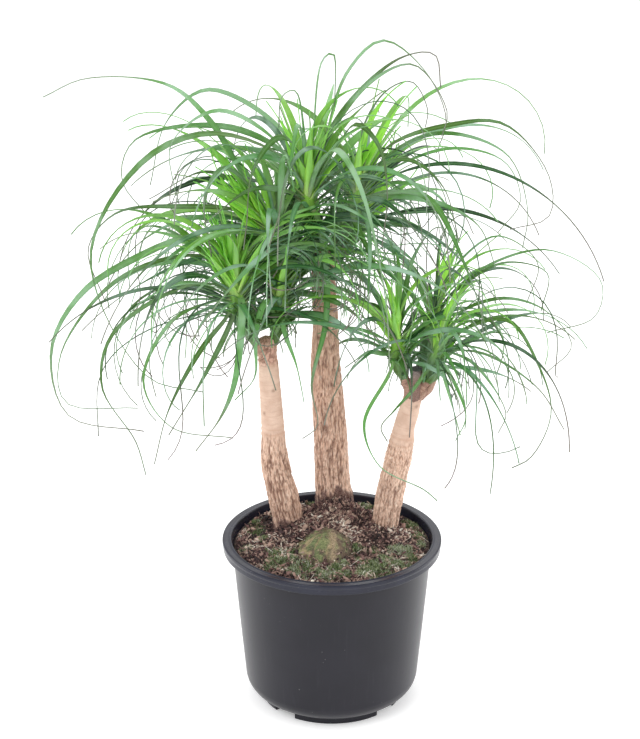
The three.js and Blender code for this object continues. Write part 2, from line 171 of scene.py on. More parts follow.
# One object from arrays. `skin` is a material and its slot; the slot is not used. `values` holds a number for
# each point under each name, for the material to read.
def makePiece(name, points, quads, triangles, skin, node="", values=None):
    material, slotName = skin
    corners = np.concatenate([np.ravel(quads), np.ravel(triangles)])
    sizes = np.repeat([4, 3], [len(quads), len(triangles)])
    mesh = bpy.data.meshes.new(name)
    mesh.vertices.add(len(points))
    mesh.vertices.foreach_set("co", (points * mm).astype(np.float32).ravel())
    mesh.loops.add(len(corners))
    mesh.loops.foreach_set("vertex_index", corners.astype(np.int32))
    mesh.polygons.add(len(sizes))
    mesh.polygons.foreach_set("loop_start", (np.cumsum(sizes) - sizes).astype(np.int32))
    mesh.update(calc_edges=True)
    mesh.shade_smooth()
    for key, numbers in (values or {}).items():
        layer = mesh.attributes.new(key, "FLOAT", "POINT")
        layer.data.foreach_set("value", np.asarray(numbers, np.float32).ravel())
    mesh.materials.append(material)
    piece = addObject(name, mesh)
    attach(piece, "root")
    if node:
        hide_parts(node)
    return piece


# Closes rings [row, column] with a pole at each end and makes them a piece
def makeTube(name, rings, skin, node, **values):
    rows, columns = rings.shape[:2]
    points = np.vstack([rings.reshape(-1, 3), rings[0].mean(axis=0), rings[-1].mean(axis=0)])
    grids = {key: np.broadcast_to(value, (rows, columns)) for key, value in values.items()}
    full = {key: np.concatenate([grid.ravel(), grid[[0, -1]].mean(axis=1)]) for key, grid in grids.items()}
    return makePiece(name, points, ringQuads(rows, columns), poleFans(rows, columns), skin, node, full)


# Faces of one small shape repeated for each copy
def repeated(faces, each, count):
    return (np.asarray(faces)[None] + each * np.arange(count)[:, None, None]).reshape(-1, len(faces[0]))


# Turning matrices about X, Y or Z (axis 0, 1 or 2), one for each angle
def turning(axis, angle):
    made = np.zeros((len(angle), 3, 3))
    one, two = (axis + 1) % 3, (axis + 2) % 3
    made[:, axis, axis] = 1
    made[:, one, one] = made[:, two, two] = np.cos(angle)
    made[:, two, one], made[:, one, two] = np.sin(angle), -np.sin(angle)
    return made


# Copies of a small closed shape, each sized, turned and set down on its spot, as one piece
def scatter(name, shape, faces, sizes, turns, spots, lift, skin, **values):
    points = np.einsum("nij,npj->npi", turns, shape * sizes[:, None]) + xyz(*spots.T, lift)[:, None]
    faces = repeated(faces, points.shape[1], len(points))
    both = (faces, []) if faces.shape[1] == 4 else ([], faces)
    makePiece(name, points.reshape(-1, 3), *both, skin, values={
        key: np.broadcast_to(value, points.shape[:2]) for key, value in values.items()})


# Shaders

# A wire is one socket's value: an expression on wires adds its Math nodes.
class Wire:
    def __init__(self, tree, socket=None):
        self.tree, self.socket = tree, socket

    # Any other node: its settings first, then a value or a wire for each input named
    def node(self, kind, settings=None, inputs=None, output=0):
        made = self.tree.nodes.new("ShaderNode" + kind)
        for key, value in (settings or {}).items():
            if key == "stops":
                ramp = made.color_ramp.elements
                for spot, (place, colour) in enumerate(value):
                    stop = ramp[spot] if spot < 2 else ramp.new(place)
                    stop.position, stop.color = place, (*colour, 1)
            else:
                setattr(made, key, value)
        for key, value in (inputs or {}).items():
            if isinstance(value, Wire):
                self.tree.links.new(value.socket, made.inputs[key])
            else:
                made.inputs[key].default_value = value
        return Wire(self.tree, made.outputs[output])

    def math(self, operation, *values):
        return self.node("Math", {"operation": operation}, dict(enumerate(values)))

    def __add__(self, other):
        return self.math("ADD", self, other)

    def __sub__(self, other):
        return self.math("SUBTRACT", self, other)

    def __rsub__(self, other):
        return self.math("SUBTRACT", other, self)

    def __mul__(self, other):
        return self.math("MULTIPLY", self, other)

    __radd__, __rmul__ = __add__, __mul__

    def band(self, low, high):
        return self.node("MapRange", {"interpolation_type": "SMOOTHSTEP"},
                         {"Value": self, "From Min": low, "From Max": high})

    def ramp(self, *stops):
        return self.node("ValToRGB", {"stops": stops}, {"Fac": self})

    # This wire is the share of the second colour
    def mix(self, first, second):
        ends = [c if isinstance(c, Wire) else (*c, 1) for c in (first, second)]
        return self.node("Mix", {"data_type": "RGBA"}, {0: self, 6: ends[0], 7: ends[1]}, output=2)

    # Lays colours over this one, each with its own share
    def coated(self, *coats):
        colour = self
        for share, coat in coats:
            colour = share.mix(colour, coat)
        return colour

    # Multiplies a colour wire by a number wire
    def shaded(self, amount):
        return self.node("VectorMath", {"operation": "SCALE"}, {"Vector": self, "Scale": amount})

    def stretched(self, x, y, z):
        return self.node("VectorMath", {"operation": "MULTIPLY"}, {0: self, 1: (x, y, z)})

    def noise(self, scale, detail):
        return self.node("TexNoise", {}, {"Vector": self, "Scale": scale, "Detail": detail})

    # The piece's own numbers under these names, 0 where it has none
    def values(self, *names):
        return [self.node("Attribute", {"attribute_name": name}, output=2) for name in names]

    def bump(self, distance, strength):
        return self.node("Bump", {}, {"Height": self, "Distance": distance * mm, "Strength": strength})


# A material and its slot: `paint` takes a starting wire and millimetre coordinates and gives the varying
# sockets; `fixed` sets the sockets that are the same all over.
def finish(name, slotName, paint, fixed=None):
    made = bpy.data.materials.new(name)
    made.use_nodes = True
    tree = made.node_tree
    shader = tree.nodes["Principled BSDF"]
    start = Wire(tree)
    place = start.node("TexCoord", output=3).shaded(1 / mm)
    for key, value in (fixed or {}).items():
        shader.inputs[key].default_value = value
    for key, wire in paint(start, place).items():
        tree.links.new(wire.socket, shader.inputs[key])
    return made, slotName


# Pot

potSizes = {
    "segments": 168, "turn": 4, "rimRadius": 120, "rimTop": 190, "rimBand": 11.5, "mouthRadius": 111.5,
    "lip": 4.6, "step": 0.8, "bead": 80, "wall": 1.8, "shoulder": (109, 178), "waist": (100, 73),
    "heel": (95.6, 26), "heelRound": 20, "softness": 2.2, "longestEdge": 12,
    "floorUnder": 8, "footOuter": 79, "footInner": 72, "footStretch": 70, "feet": 4,
    "drainRadius": 6, "drainCircle": 51, "drains": 6, "drainSegments": 32,
}


# Dark satin plastic: upright streaks, scuffs and pale specks over a cloudy base, with painted highlights on
# the rim and round the heel's bead
def paintPot(start, place):
    cloud, grain = place.noise(0.018, 3), place.noise(1.6, 2)
    height = place.node("SeparateXYZ", {}, {0: place}, output=2)
    streaks = place.stretched(1, 1, 0.08).noise(0.22, 3).band(0.56, 0.82)
    scuffs = place.stretched(0.35, 0.35, 1).noise(0.5, 4).band(0.66, 0.78)
    specks = place.noise(0.31, 1).band(0.785, 0.81)
    dust = height.band(172, 190) * place.noise(0.035, 3).band(0.35, 0.70)
    base = cloud.band(0.3, 0.7).mix((0.0062, 0.0056, 0.0112), (0.0092, 0.0084, 0.0152)).coated(
        # painted highlight: a pale blue-grey band round the heel's bead, 6 to 10.5 mm up
        (height.band(6.0, 7.2) * (1 - height.band(8.6, 10.5)) * 0.6, (0.060, 0.060, 0.075)),
        (streaks * 0.14 + scuffs * 0.10, (0.045, 0.043, 0.055)),
        # dust patches near the top, and the rim above 176 mm painted paler blue-grey as its highlight
        (dust * 0.35 + height.band(176, 180) * 0.35, (0.022, 0.025, 0.046)),
        (specks * 0.55, (0.20, 0.19, 0.19)))
    rough = cloud * 0.12 + 0.26 + scuffs * 0.10 - height.band(176, 184) * 0.06
    relief = grain * 0.35 + cloud * 0.9 + scuffs * 0.25
    return {"Base Color": base, "Roughness": rough, "Normal": relief.bump(0.12, 0.6)}


# Rounds each inner corner of an outline with a quadratic arc that starts `reach` before it
def softened(outline, reach, steps=4):
    outline = np.asarray(outline, float)
    line = [outline[:1]]
    t = np.linspace(0, 1, steps)[:, None]
    for before, corner, after in zip(outline, outline[1:], outline[2:]):
        lead, tail = (corner + (end - corner) * min(0.45, reach / np.linalg.norm(end - corner))
                      for end in (before, after))
        line.append((1 - t) ** 2 * lead + 2 * t * (1 - t) * corner + t ** 2 * tail)
    return np.vstack(line + [outline[-1:]])


# Adds points so that no stretch of an outline is longer than `most`
def filled(outline, most):
    parts = [np.linspace(a, b, max(1, math.ceil(np.linalg.norm(b - a) / most)), endpoint=False)
             for a, b in zip(outline, outline[1:])]
    return np.vstack(parts + [outline[-1:]])


# The wall from the foot of the rounded heel to the shoulder, `inset` inside the outer face
def wallLine(inset):
    p = potSizes
    bend = np.radians(np.linspace(0, 80, 9))
    reach = p["heelRound"] - inset
    arc = np.stack([p["heel"][0] - p["heelRound"] + reach * np.sin(bend),
                    p["floorUnder"] + p["heelRound"] - reach * np.cos(bend)], axis=1)
    return np.vstack([arc, np.array([p["heel"], p["waist"], p["shoulder"]]) - (inset, 0)])


# Turns an outline of [radius, height] about Z
def turned(outline, segments, turn=0.0):
    return polar(outline[:, :1], np.radians(turn) + fullTurn(segments), outline[:, 1:])


# The outline runs up the outer wall, round the rim and down the inner wall, and is turned about Z
def makePot(skin):
    p = potSizes
    outer, top, wall = p["rimRadius"], p["rimTop"], p["wall"]
    mouth, skirt, under, bead = p["mouthRadius"], top - p["rimBand"], p["floorUnder"], p["bead"]
    band, lip = outer - p["step"], top - p["lip"]
    rim = [(mouth, top - wall), (outer - wall, top - wall), (outer - wall, skirt), (band, skirt), (band, lip),
           (outer, lip - 0.3), (outer, top - 0.5), (mouth + 1.3, top - 1), (mouth - 0.5, top),
           (mouth - wall, top - 1)]
    heelBead = [(4, under), (bead - 2.4, under), (bead - 1.4, under - 1), (bead + 0.7, under - 0.9),
                (bead + 1.7, under + 0.5)]
    outerWall = wallLine(0)
    outline = np.vstack([heelBead, outerWall[outerWall[:, 0] > bead + 2.5], rim, wallLine(wall)[::-1],
                         [(4, under + wall)]])
    outline = filled(softened(outline, p["softness"]), p["longestEdge"])
    pot = makeTube("pot_shell", turned(outline, p["segments"], p["turn"]), skin, "pot")
    cutters = makeDrainCutters()
    cut = pot.modifiers.new("drains", "BOOLEAN")
    cut.operation, cut.solver, cut.object = "DIFFERENCE", "EXACT", cutters
    bpy.context.view_layer.update()
    drilled = bpy.data.meshes.new_from_object(pot.evaluated_get(bpy.context.evaluated_depsgraph_get()))
    pot.modifiers.clear()
    pot.data = drilled
    bpy.data.objects.remove(cutters)
    makeFeet(skin)


# Upright round bars where the drainage holes go
def makeDrainCutters():
    p = potSizes
    segments, drains, radius, under = p["drainSegments"], p["drains"], p["drainRadius"], p["floorUnder"]
    bar = turned(np.array([(radius, under - 4), (radius, under + 6)]), segments)
    centres = polar(p["drainCircle"], np.radians(p["turn"] + 360 / drains * (np.arange(drains) + 0.5)))
    each = np.vstack([bar.reshape(-1, 3), bar.mean(axis=1)])
    quads = ringQuads(2, segments)
    faces = [repeated(part, len(each), drains)
             for part in (poleFans(2, segments), quads[:, :3], quads[:, [0, 2, 3]])]
    points = (each[None] + centres[:, None]).reshape(-1, 3) * mm
    mesh = bpy.data.meshes.new("drains")
    mesh.from_pydata(points.tolist(), [], np.vstack(faces).tolist())
    return addObject("drains", mesh)


# Four stretches of foot ring: a rounded box section carried round an arc
def makeFeet(skin):
    p = potSizes
    high = p["floorUnder"] + p["wall"] / 2
    corners = [(p["footInner"], 0), (p["footOuter"], 0), (p["footOuter"], high), (p["footInner"], high)]
    section = softened(corners + corners[:2], 0.9, 3)[1:-1]
    for i in range(p["feet"]):
        middle, half = p["turn"] + 360 / p["feet"] * i, p["footStretch"] / 2
        angle = np.radians(np.linspace(middle - half, middle + half, 40))[:, None]
        makeTube("pot_foot_%d" % (i + 1), polar(section[:, 0], angle, section[:, 1])[:, ::-1], skin, "pot")


# Soil

soilSizes = {"gap": 0.4, "edge": 180.5, "mound": 10, "bump": 1.6, "segments": 300, "rings": 78, "reach": 104,
             "heap": (4, 32, 25, 24)}

# Where moss grows: [x, y, spread, how thick, how pale]
mossPatches = np.array([
    [46, -71, 25, 1.0, 0.25], [13, -84, 13, 0.6, 0.4], [71, -31, 17, 0.95, 1.0], [-61, -59, 18, 0.9, 0.2],
    [-77, 1, 13, 0.55, 0.35], [-84, 28, 19, 0.6, 0.0], [-86, 50, 13, 0.6, 0.1], [90, 39, 19, 0.85, 0.1],
    [36, 83, 19, 0.7, 0.3], [98, -8, 12, 0.7, 0.55], [78, -60, 14, 0.7, 0.6], [30, -58, 10, 0.7, 0.1],
    [-30, -84, 13, 0.6, 0.5], [-20, 98, 18, 0.6, 0.2], [-52, 78, 18, 0.6, 0.3], [64, 66, 15, 0.6, 0.4],
    [26, -38, 11, 0.8, 0.15], [-44, -36, 10, 0.7, 0.2], [-62, -36, 16, 0.7, 0.45], [-6, -86, 16, 0.65, 0.75],
    [-40, -76, 14, 0.7, 0.65], [60, -84, 12, 0.7, 0.5], [96, 14, 13, 0.7, 0.3], [58, -52, 16, 0.75, 0.35],
    [4, -72, 12, 0.9, 0.15], [-26, -68, 11, 0.9, 0.2], [44, -36, 11, 0.8, 0.1], [-94, -20, 12, 0.6, 0.5],
    [-58, 62, 15, 0.6, 0.15], [82, -28, 13, 0.8, 0.9], [-46, -52, 14, 0.8, 0.3], [34, -78, 15, 0.9, 0.55],
    [-18, -78, 13, 0.85, 0.35], [70, -58, 13, 0.8, 0.25], [12, -64, 9, 0.8, 0.7], [-36, -62, 10, 0.8, 0.8],
    [86, -44, 11, 0.8, 0.2],
])

# Piled crumbs round the trunks' feet, highest between the middle trunk and the mossy foot:
# [x, y, width, depth, height]
piles = [(4, 44, 30, 24, 23), (2, 6, 27, 18, 11), (-44, 22, 22, 22, 6), (56, 20, 20, 20, 5),
         (42, -12, 20, 22, 5), (-36, -14, 14, 16, 5), (28, -18, 12, 16, 4), (-84, 24, 18, 16, -6)]


# Height of the soil: a low crown, then waves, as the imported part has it
def soilCrown(x, y):
    s = soilSizes
    out = np.minimum(1, np.hypot(x, y) / (potSizes["shoulder"][0] - potSizes["wall"]))
    waves = np.sin(x / 9 + 1) * np.cos(y / 11) + 0.6 * np.sin((x + 2 * y) / 15)
    return s["edge"] + s["mound"] * (1 - out ** 2) + s["bump"] * waves * (1 - out ** 6)


# How mossy a place is: the strongest patch there, exp(-d^2 / (0.55 spread)^2), broken up by noise
def mossAt(x, y):
    px, py, spread, green, _ = mossPatches.T
    near = np.exp(-((x[..., None] - px) ** 2 + (y[..., None] - py) ** 2) / (0.55 * spread) ** 2) * green
    return np.clip(near.max(axis=-1) * (0.5 + softNoise(xyz(x / 6, y / 6), 91)), 0, 1)


# A round hill's share of its height at x, y: exp(-dx^2 - dy^2), each counted in its own widths
def hill(x, y, px, py, wide, deep):
    return np.exp(-((x - px) / wide) ** 2 - ((y - py) / deep) ** 2)


# Crumbs of three sizes: [height, width, the noise's seed, its layers]
crumbSizes = [(6.0, 15, 3, 3), (4.4, 4.2, 7, 1), (2.0, 1.9, 11, 1)]


# Height with its crumbs on the crown, heaps and a little lift under moss
def soilTop(x, y):
    calm, flat = 1 - ease(92, 106, np.hypot(x, y)), xyz(x, y)
    crumbs = sum(high * bumps(flat / wide, seed, layers) for high, wide, seed, layers in crumbSizes)
    heap = sum(high * hill(x, y, *pile) for *pile, high in piles)
    return soilCrown(x, y) + crumbs * (0.45 + 0.55 * calm) + heap * calm + 1.8 * mossAt(x, y) * calm


# Height of whatever is uppermost: the soil, or the mossy foot where it stands out
def groundTop(x, y):
    (fx, fy, fz), (rx, ry, rz) = footSizes["lobe"], footSizes["radii"]
    share = np.clip(1 - ((x - fx) / rx) ** 2 - ((y - fy) / ry) ** 2, 0, 1)
    return np.maximum(soilTop(x, y), fz + rz * np.sqrt(share) - 200 * (share == 0))


# Dark peat by coarse and fine noise, green by the bed's own moss, with pale flecks
def paintPeat(start, place):
    coarse, fine = place.noise(0.16, 5), place.noise(0.9, 3)
    flecks = place.noise(0.55, 2).band(0.63, 0.70)
    moss = start.values("moss")[0] * place.noise(0.45, 3).band(0.30, 0.62)
    green = fine.ramp((0.3, (0.025, 0.042, 0.014)), (0.55, (0.080, 0.120, 0.040)), (0.75, (0.24, 0.28, 0.13)))
    colour = (coarse * 0.6 + fine * 0.4).ramp(
        (0.34, (0.008, 0.005, 0.005)), (0.46, (0.035, 0.019, 0.018)), (0.56, (0.095, 0.055, 0.047)),
        (0.68, (0.26, 0.175, 0.145))).coated((moss, green), (flecks * 0.75, (0.36, 0.27, 0.21)))
    return {"Base Color": colour, "Roughness": fine * 0.2 + 0.78,
            "Normal": (coarse + fine * 0.6).bump(1.2, 0.9)}


# Loose bits share one material: `tone` picks a colour along the ramp, from black peat to pale grit
def paintBits(start, place):
    grain = place.noise(1.3, 3)
    colour = start.values("tone")[0].ramp(
        (0.0, (0.012, 0.006, 0.007)), (0.25, (0.052, 0.023, 0.024)), (0.45, (0.150, 0.075, 0.068)),
        (0.62, (0.36, 0.225, 0.185)), (0.80, (0.53, 0.39, 0.31)), (1.0, (0.78, 0.73, 0.64)))
    return {"Base Color": colour.shaded(grain * 0.7 + 0.72), "Roughness": grain * 0.2 + 0.7,
            "Normal": grain.bump(0.4, 0.8)}


# Green by each spike's tone, with painted shade: darker towards each spike's foot
def paintMoss(start, place):
    tone, tip = start.values("tone", "tip")
    colour = tone.ramp((0.0, (0.035, 0.058, 0.016)), (0.35, (0.120, 0.185, 0.048)),
                       (0.62, (0.28, 0.33, 0.15)), (1.0, (0.54, 0.56, 0.45)))
    # painted shade: each spike dims to 0.45 at its foot, among the others
    return {"Base Color": colour.shaded(tip * 0.75 + 0.45), "Roughness": tone * 0.1 + 0.75,
            "Normal": place.noise(2.0, 2).bump(0.2, 0.5)}


# The bed: the pot's inner line turned about Z, closed over by rings at the height of soilTop
def makeSoil(skin):
    s = soilSizes
    side = wallLine(potSizes["wall"] + s["gap"])
    waist, shoulder = side[-2:]
    side[-1] = waist + (shoulder - waist) * (s["edge"] - waist[1]) / (shoulder[1] - waist[1])
    lower = filled(np.vstack([[(2, potSizes["floorUnder"] + potSizes["wall"] + s["gap"])], side]), 18)
    body = turned(lower, s["segments"])
    reach = side[-1][0] * (1 - np.linspace(0, 1, s["rings"] + 1)[1:-1, None] ** 1.15)
    x, y, _ = np.moveaxis(polar(reach, fullTurn(s["segments"])), -1, 0)
    rings = np.concatenate([body, xyz(x, y, soilTop(x, y))])
    makeTube("soil_bed", rings, skin, "soil", moss=np.concatenate([np.zeros(body.shape[:2]), mossAt(x, y)]))


trunkFeet = np.array([(-46, 30, 14), (4, 71, 19), (58, 27, 12)])  # x, y and radius


# Of some spots, those on the soil and out of the trunks. On the mossy foot only its skirts and back keep any.
def onSoil(draw, spots):
    gaps = np.linalg.norm(spots[:, None] - trunkFeet[:, :2], axis=2) - trunkFeet[:, 2]
    x, y = spots.T
    hidden = groundTop(x, y) - soilTop(x, y) < 9 * draw.random(len(spots)) ** 2 + 0.5 * np.clip(y + 26, 0, 30)
    green = 0.9 * mossAt(x, y) > draw.random(len(spots))
    return spots[(gaps.min(axis=1) > 0) & (np.hypot(x, y) < soilSizes["reach"]) & hidden & ~green]


# Random spots on the soil, evenly by area
def soilSpots(draw, count):
    radius, angle = soilSizes["reach"] * np.sqrt(draw.random(count)), 2 * np.pi * draw.random(count)
    return polar(radius, angle)[:, :2]


# Spots strewn normally round x, y
def spotsRound(draw, x, y, spreadX, spreadY, count):
    return np.stack([draw.normal(x, spreadX, count), draw.normal(y, spreadY, count)], axis=1)


# A draw between each size's limits
def drawnSizes(draw, ranges, count):
    return np.stack([draw.uniform(*limits, count) for limits in ranges], axis=1)


chipShape = np.array([(-1, -1, -1), (1, -1, -1), (1, 1, -1), (-1, 1, -1), (-1, -1, 1), (1, -1, 1), (1, 1, 1),
                      (-1, 1, 1)], float) / 2
chipFaces = [(0, 3, 2, 1), (4, 5, 6, 7), (0, 1, 5, 4), (1, 2, 6, 5), (2, 3, 7, 6), (3, 0, 4, 7)]
spikeShape = np.array([(-0.5, -0.29, 0), (0.5, -0.29, 0), (0, 0.58, 0), (0, 0, 1)])
spikeFaces = [(0, 2, 1), (0, 1, 3), (1, 2, 3), (2, 0, 3)]

# Kinds of loose bits: how many lie anywhere and how many on the heap, their lengths, widths and thicknesses,
# tones, how much they lean towards dark ones, how far they stand up and, if any, the kind's own heap
# (its middle and spread)
bitKinds = {
    "crumbs": (6600, 1800, [(1.0, 3.1), (0.6, 1.9), (0.5, 1.5)], (0.08, 0.90), 1.2, 0.5),
    "bark": (420, 130, [(3, 8), (1.8, 4.0), (0.8, 2.0)], (0.15, 0.84), 1.0, 0.5),
    "flakes": (0, 620, [(2.5, 7), (1.2, 3.6), (0.4, 1.1)], (0.34, 0.84), 0.9, 0.45, (8, 27, 11, 15)),
    "twigs": (900, 1900, [(2.5, 9), (0.45, 1.2), (0.35, 0.9)], (0.0, 0.76), 1.3, 0.5),
    "straws": (1500, 200, [(3, 10), (0.3, 0.7), (0.3, 0.55)], (0.45, 1.0), 1.0, 0.35),
    "grit": (420, 20, [(0.9, 2.0), (0.8, 1.6), (0.7, 1.3)], (0.70, 0.98), 1.0, 0.5),
    "pebbles": (34, 0, [(2.4, 4.6), (2.0, 3.6), (1.4, 2.6)], (0.50, 0.85), 1.2, 0.3),
}


# Boxes with shifted corners, strewn over the soil and on the heaps, and leaning at random
def makeBits(skin):
    for number, (kind, row) in enumerate(bitKinds.items()):
        spread, heaped, ranges, tones, darker, standing, *heap = row
        draw = np.random.default_rng(500 + number)
        heap = spotsRound(draw, *(heap or [soilSizes["heap"]])[0], heaped)
        spots = onSoil(draw, np.vstack([soilSpots(draw, spread), heap]))
        count = len(spots)
        sizes = drawnSizes(draw, ranges, count)
        shape = chipShape * (1 + draw.uniform(-0.45, 0.45, (count, 8, 3)))
        stand = np.clip(np.abs(draw.normal(0, standing, count)), 0, 1.3)
        turns = turning(2, draw.uniform(0, 2 * np.pi, count)) @ turning(1, -stand) @ turning(
            0, draw.normal(0, 0.5, count))
        lift = groundTop(*spots.T) + 0.35 * sizes[:, 2] + 0.42 * sizes[:, 0] * np.sin(stand)
        tone = between(*tones, draw.random(count) ** darker) + 0.95 * bumps(xyz(*spots.T) / 17, 55, 2)
        # painted shade: the bits are darker round the left back, under the left heads
        tone -= 0.30 * hill(*spots.T, -74, 44, 26, 30)
        scatter("soil_" + kind, shape, chipFaces, sizes, turns, spots, lift, skin, tone=tone[:, None])


mossRule = {"density": 3.9, "thicker": 1.3, "spread": 0.36, "sizes": [(0.6, 1.2), (0.5, 1.0), (1.8, 5.0)],
            "tone": (0.27, 0.50, 0.34), "lean": 0.75, "reach": 103, "least": 0.14, "sunk": 0.4}


# Moss: thousands of thin spikes that stand round the middle of their patch and lean every way
def makeMoss(skin):
    m = mossRule
    draw = np.random.default_rng(77)
    spots, tones = [], []
    for px, py, spread, green, pale in mossPatches:
        count = int(m["density"] * spread ** 2 * green ** m["thicker"])
        spots.append(spotsRound(draw, px, py, spread * m["spread"], spread * m["spread"], count))
        tones.append(np.clip(draw.normal(m["tone"][0] + m["tone"][1] * pale, m["tone"][2], count), 0, 1))
    spots, tones = np.vstack(spots), np.concatenate(tones)
    climbs = groundTop(*spots.T) - soilTop(*spots.T) < 8 * draw.random(len(spots)) ** 2 + 0.5
    kept = (np.hypot(*spots.T) < m["reach"]) & (mossAt(*spots.T) > m["least"]) & climbs
    spots, tones = spots[kept], tones[kept]
    count = len(spots)
    sizes = drawnSizes(draw, m["sizes"], count)
    turns = turning(2, draw.uniform(0, 2 * np.pi, count)) @ turning(0, draw.normal(0, m["lean"], count))
    scatter("soil_moss", spikeShape, spikeFaces, sizes, turns, spots, groundTop(*spots.T) - m["sunk"], skin,
            tone=tones[:, None], tip=[0, 0, 0, 1])


# Wood

# Each trunk: stations [x, y, z, radius]; the height up to which it is fissured and how softly that ends;
# wrinkled heights; knots [height, degrees round from +X, size, lift]; how high dark red-brown debris clings
# to it at the back and in front; heights where the bare top is lumpy and flushed; how much darker and
# redder its rough bark is low down and higher up, partly warmer bark and partly painted shade under the
# heads; how dark its cracks are
trunks = {
    "left": {
        "stations": [(-38, 29, 145, 18), (-46, 30, 185, 16.7), (-53, 29, 221, 16.8), (-62, 27, 265, 15.2),
                     (-64, 25, 304, 12.8), (-68, 21, 376, 11.0), (-69.5, 20, 398, 10.4), (-71, 19, 416, 9.6)],
        "fissuredTo": 298, "fade": 22, "wrinkled": (298, 314), "rows": 300, "columns": 110, "seed": 21,
        "knots": [(357, 290, 3.2, 0.9), (392, 250, 3.6, 1.2), (396, 310, 3.4, 1.6), (402, 205, 4.0, 2.4),
                  (406, 275, 3.6, 1.6), (330, 230, 3.0, 0.5), (272, 262, 5.0, 1.0), (386, 340, 3.4, 1.6)],
        "debris": (189, 198), "flushed": (384, 420), "warmth": (0.58, 0.62), "cracked": 1.0,
    },
    "middle": {
        "stations": [(5, 66, 145, 27), (4, 72, 181, 22.6), (3, 70, 202, 21), (1, 68, 226, 19.5),
                     (-2, 63, 292, 18.3), (-5, 60, 337, 17.1), (-7, 57, 379, 15.6), (-7, 54, 422, 13.5),
                     (-9, 52, 462, 13.3), (-11, 50, 496, 11.7)],
        "fissuredTo": 438, "fade": 24, "wrinkled": (436, 492), "rows": 370, "columns": 136, "seed": 33,
        "knots": [(300, 255, 6.0, 1.2), (352, 285, 5.0, 1.0), (246, 300, 6.0, 1.2), (470, 265, 4.0, 1.2),
                  (405, 240, 4.5, 0.9)],
        "debris": (193, 221), "flushed": (432, 496), "warmth": (0.0, 1.0), "cracked": 0.9,
    },
    "right": {
        "stations": [(46, 28, 145, 16), (57, 27, 181, 14.6), (63, 24, 223, 15.1), (71, 20, 268, 14.6),
                     (75, 18, 290, 14.2), (78, 17, 312, 11.6), (83, 15, 332, 11), (87, 14, 350, 9.6),
                     (89.5, 14, 366, 8.8)],
        "fissuredTo": 292, "fade": 13, "wrinkled": (262, 304), "rows": 280, "columns": 104, "seed": 47,
        "knots": [(342, 300, 3.4, 0.8), (356, 230, 3.6, 1.2), (240, 280, 5.0, 0.8), (290, 205, 4.0, 0.7)],
        "debris": (186, 194), "flushed": (346, 372), "warmth": (0.0, 0.40), "cracked": 0.62,
    },
}


# A bar through stations [x, y, z, radius]: its path and radii, the run along it and its length, its angles,
# and its skin set upright for the noise
def barGrid(stations, rows, columns):
    stations, length = smoothPath(stations, rows)
    run, angle = np.linspace(0, length, rows)[:, None], fullTurn(columns)
    return stations[:, :3], stations[:, 3:], run, length, angle, polar(stations[:, 3:], angle, run)


# Rings round a path: centre + radius (cos a across + sin a around), where `across` is X made square to it
def ringsRound(path, radius):
    angle = fullTurn(radius.shape[1])[:, None]
    ahead = unit(np.gradient(path, axis=0))
    across = unit(np.array([1.0, 0, 0]) - ahead * ahead[:, :1])
    outward = np.cos(angle) * across[:, None] + np.sin(angle) * np.cross(ahead, across)[:, None]
    return path[:, None] + outward * radius[..., None]


# Narrows the last stretch of a bar to a dome: radius times sqrt(1 - t^2)
def domed(run, length, cap, floor=0.06):
    return np.maximum(floor, np.sqrt(1 - np.clip((run - (length - cap)) / cap, 0, 1) ** 2))


# Bare and fissured bark mixed by the trunk's own numbers, then rings, cracks, debris and sawn wood
def paintBark(start, place):
    crack, fissured, debris, ring, warmth, flush, grey = start.values(
        "crack", "fissured", "debris", "ring", "warmth", "flushed", "grey")
    grain = place.stretched(1, 1, 0.15).noise(1.25, 5)
    strands = place.stretched(1, 1, 0.10).noise(0.85, 3).band(0.58, 0.74)
    blotch, fine = place.noise(0.07, 3), place.noise(1.5, 3)
    bare = blotch.band(0.3, 0.7).mix((0.62, 0.418, 0.318), (0.75, 0.545, 0.430)).coated(
        (flush * fine.band(0.35, 0.6) * 0.85, (0.60, 0.300, 0.225)))
    rough = grain.ramp((0.30, (0.36, 0.195, 0.135)), (0.42, (0.69, 0.440, 0.320)),
                       (0.56, (0.90, 0.635, 0.490)), (0.72, (1.0, 0.840, 0.700))).coated(
        # darker red-brown coat over the rough bark: partly warmer bark, partly painted shade under the heads
        (warmth * (blotch.band(0.35, 0.6) * 0.35 + 0.34), (0.50, 0.290, 0.200)),
        (strands * 0.75, (0.95, 0.79, 0.66)))
    peat = fine.ramp((0.34, (0.030, 0.014, 0.014)), (0.50, (0.125, 0.062, 0.055)),
                     (0.68, (0.38, 0.235, 0.190)))
    sawn = fine.ramp((0.35, (0.075, 0.070, 0.072)), (0.65, (0.24, 0.23, 0.235)))
    colour = fissured.mix(bare, rough).coated(
        (ring * 0.42, (0.50, 0.270, 0.180)), (crack * 0.92, (0.190, 0.092, 0.060)),
        (debris * (fine * 0.4 + 0.70), peat), (grey, sawn)).shaded(fine * 0.30 + 0.83)
    relief = grain * fissured + strands * 0.3 + fine * 0.45 + debris * fine
    return {"Base Color": colour, "Roughness": fine * 0.15 + 0.70, "Normal": relief.bump(0.6, 0.9)}


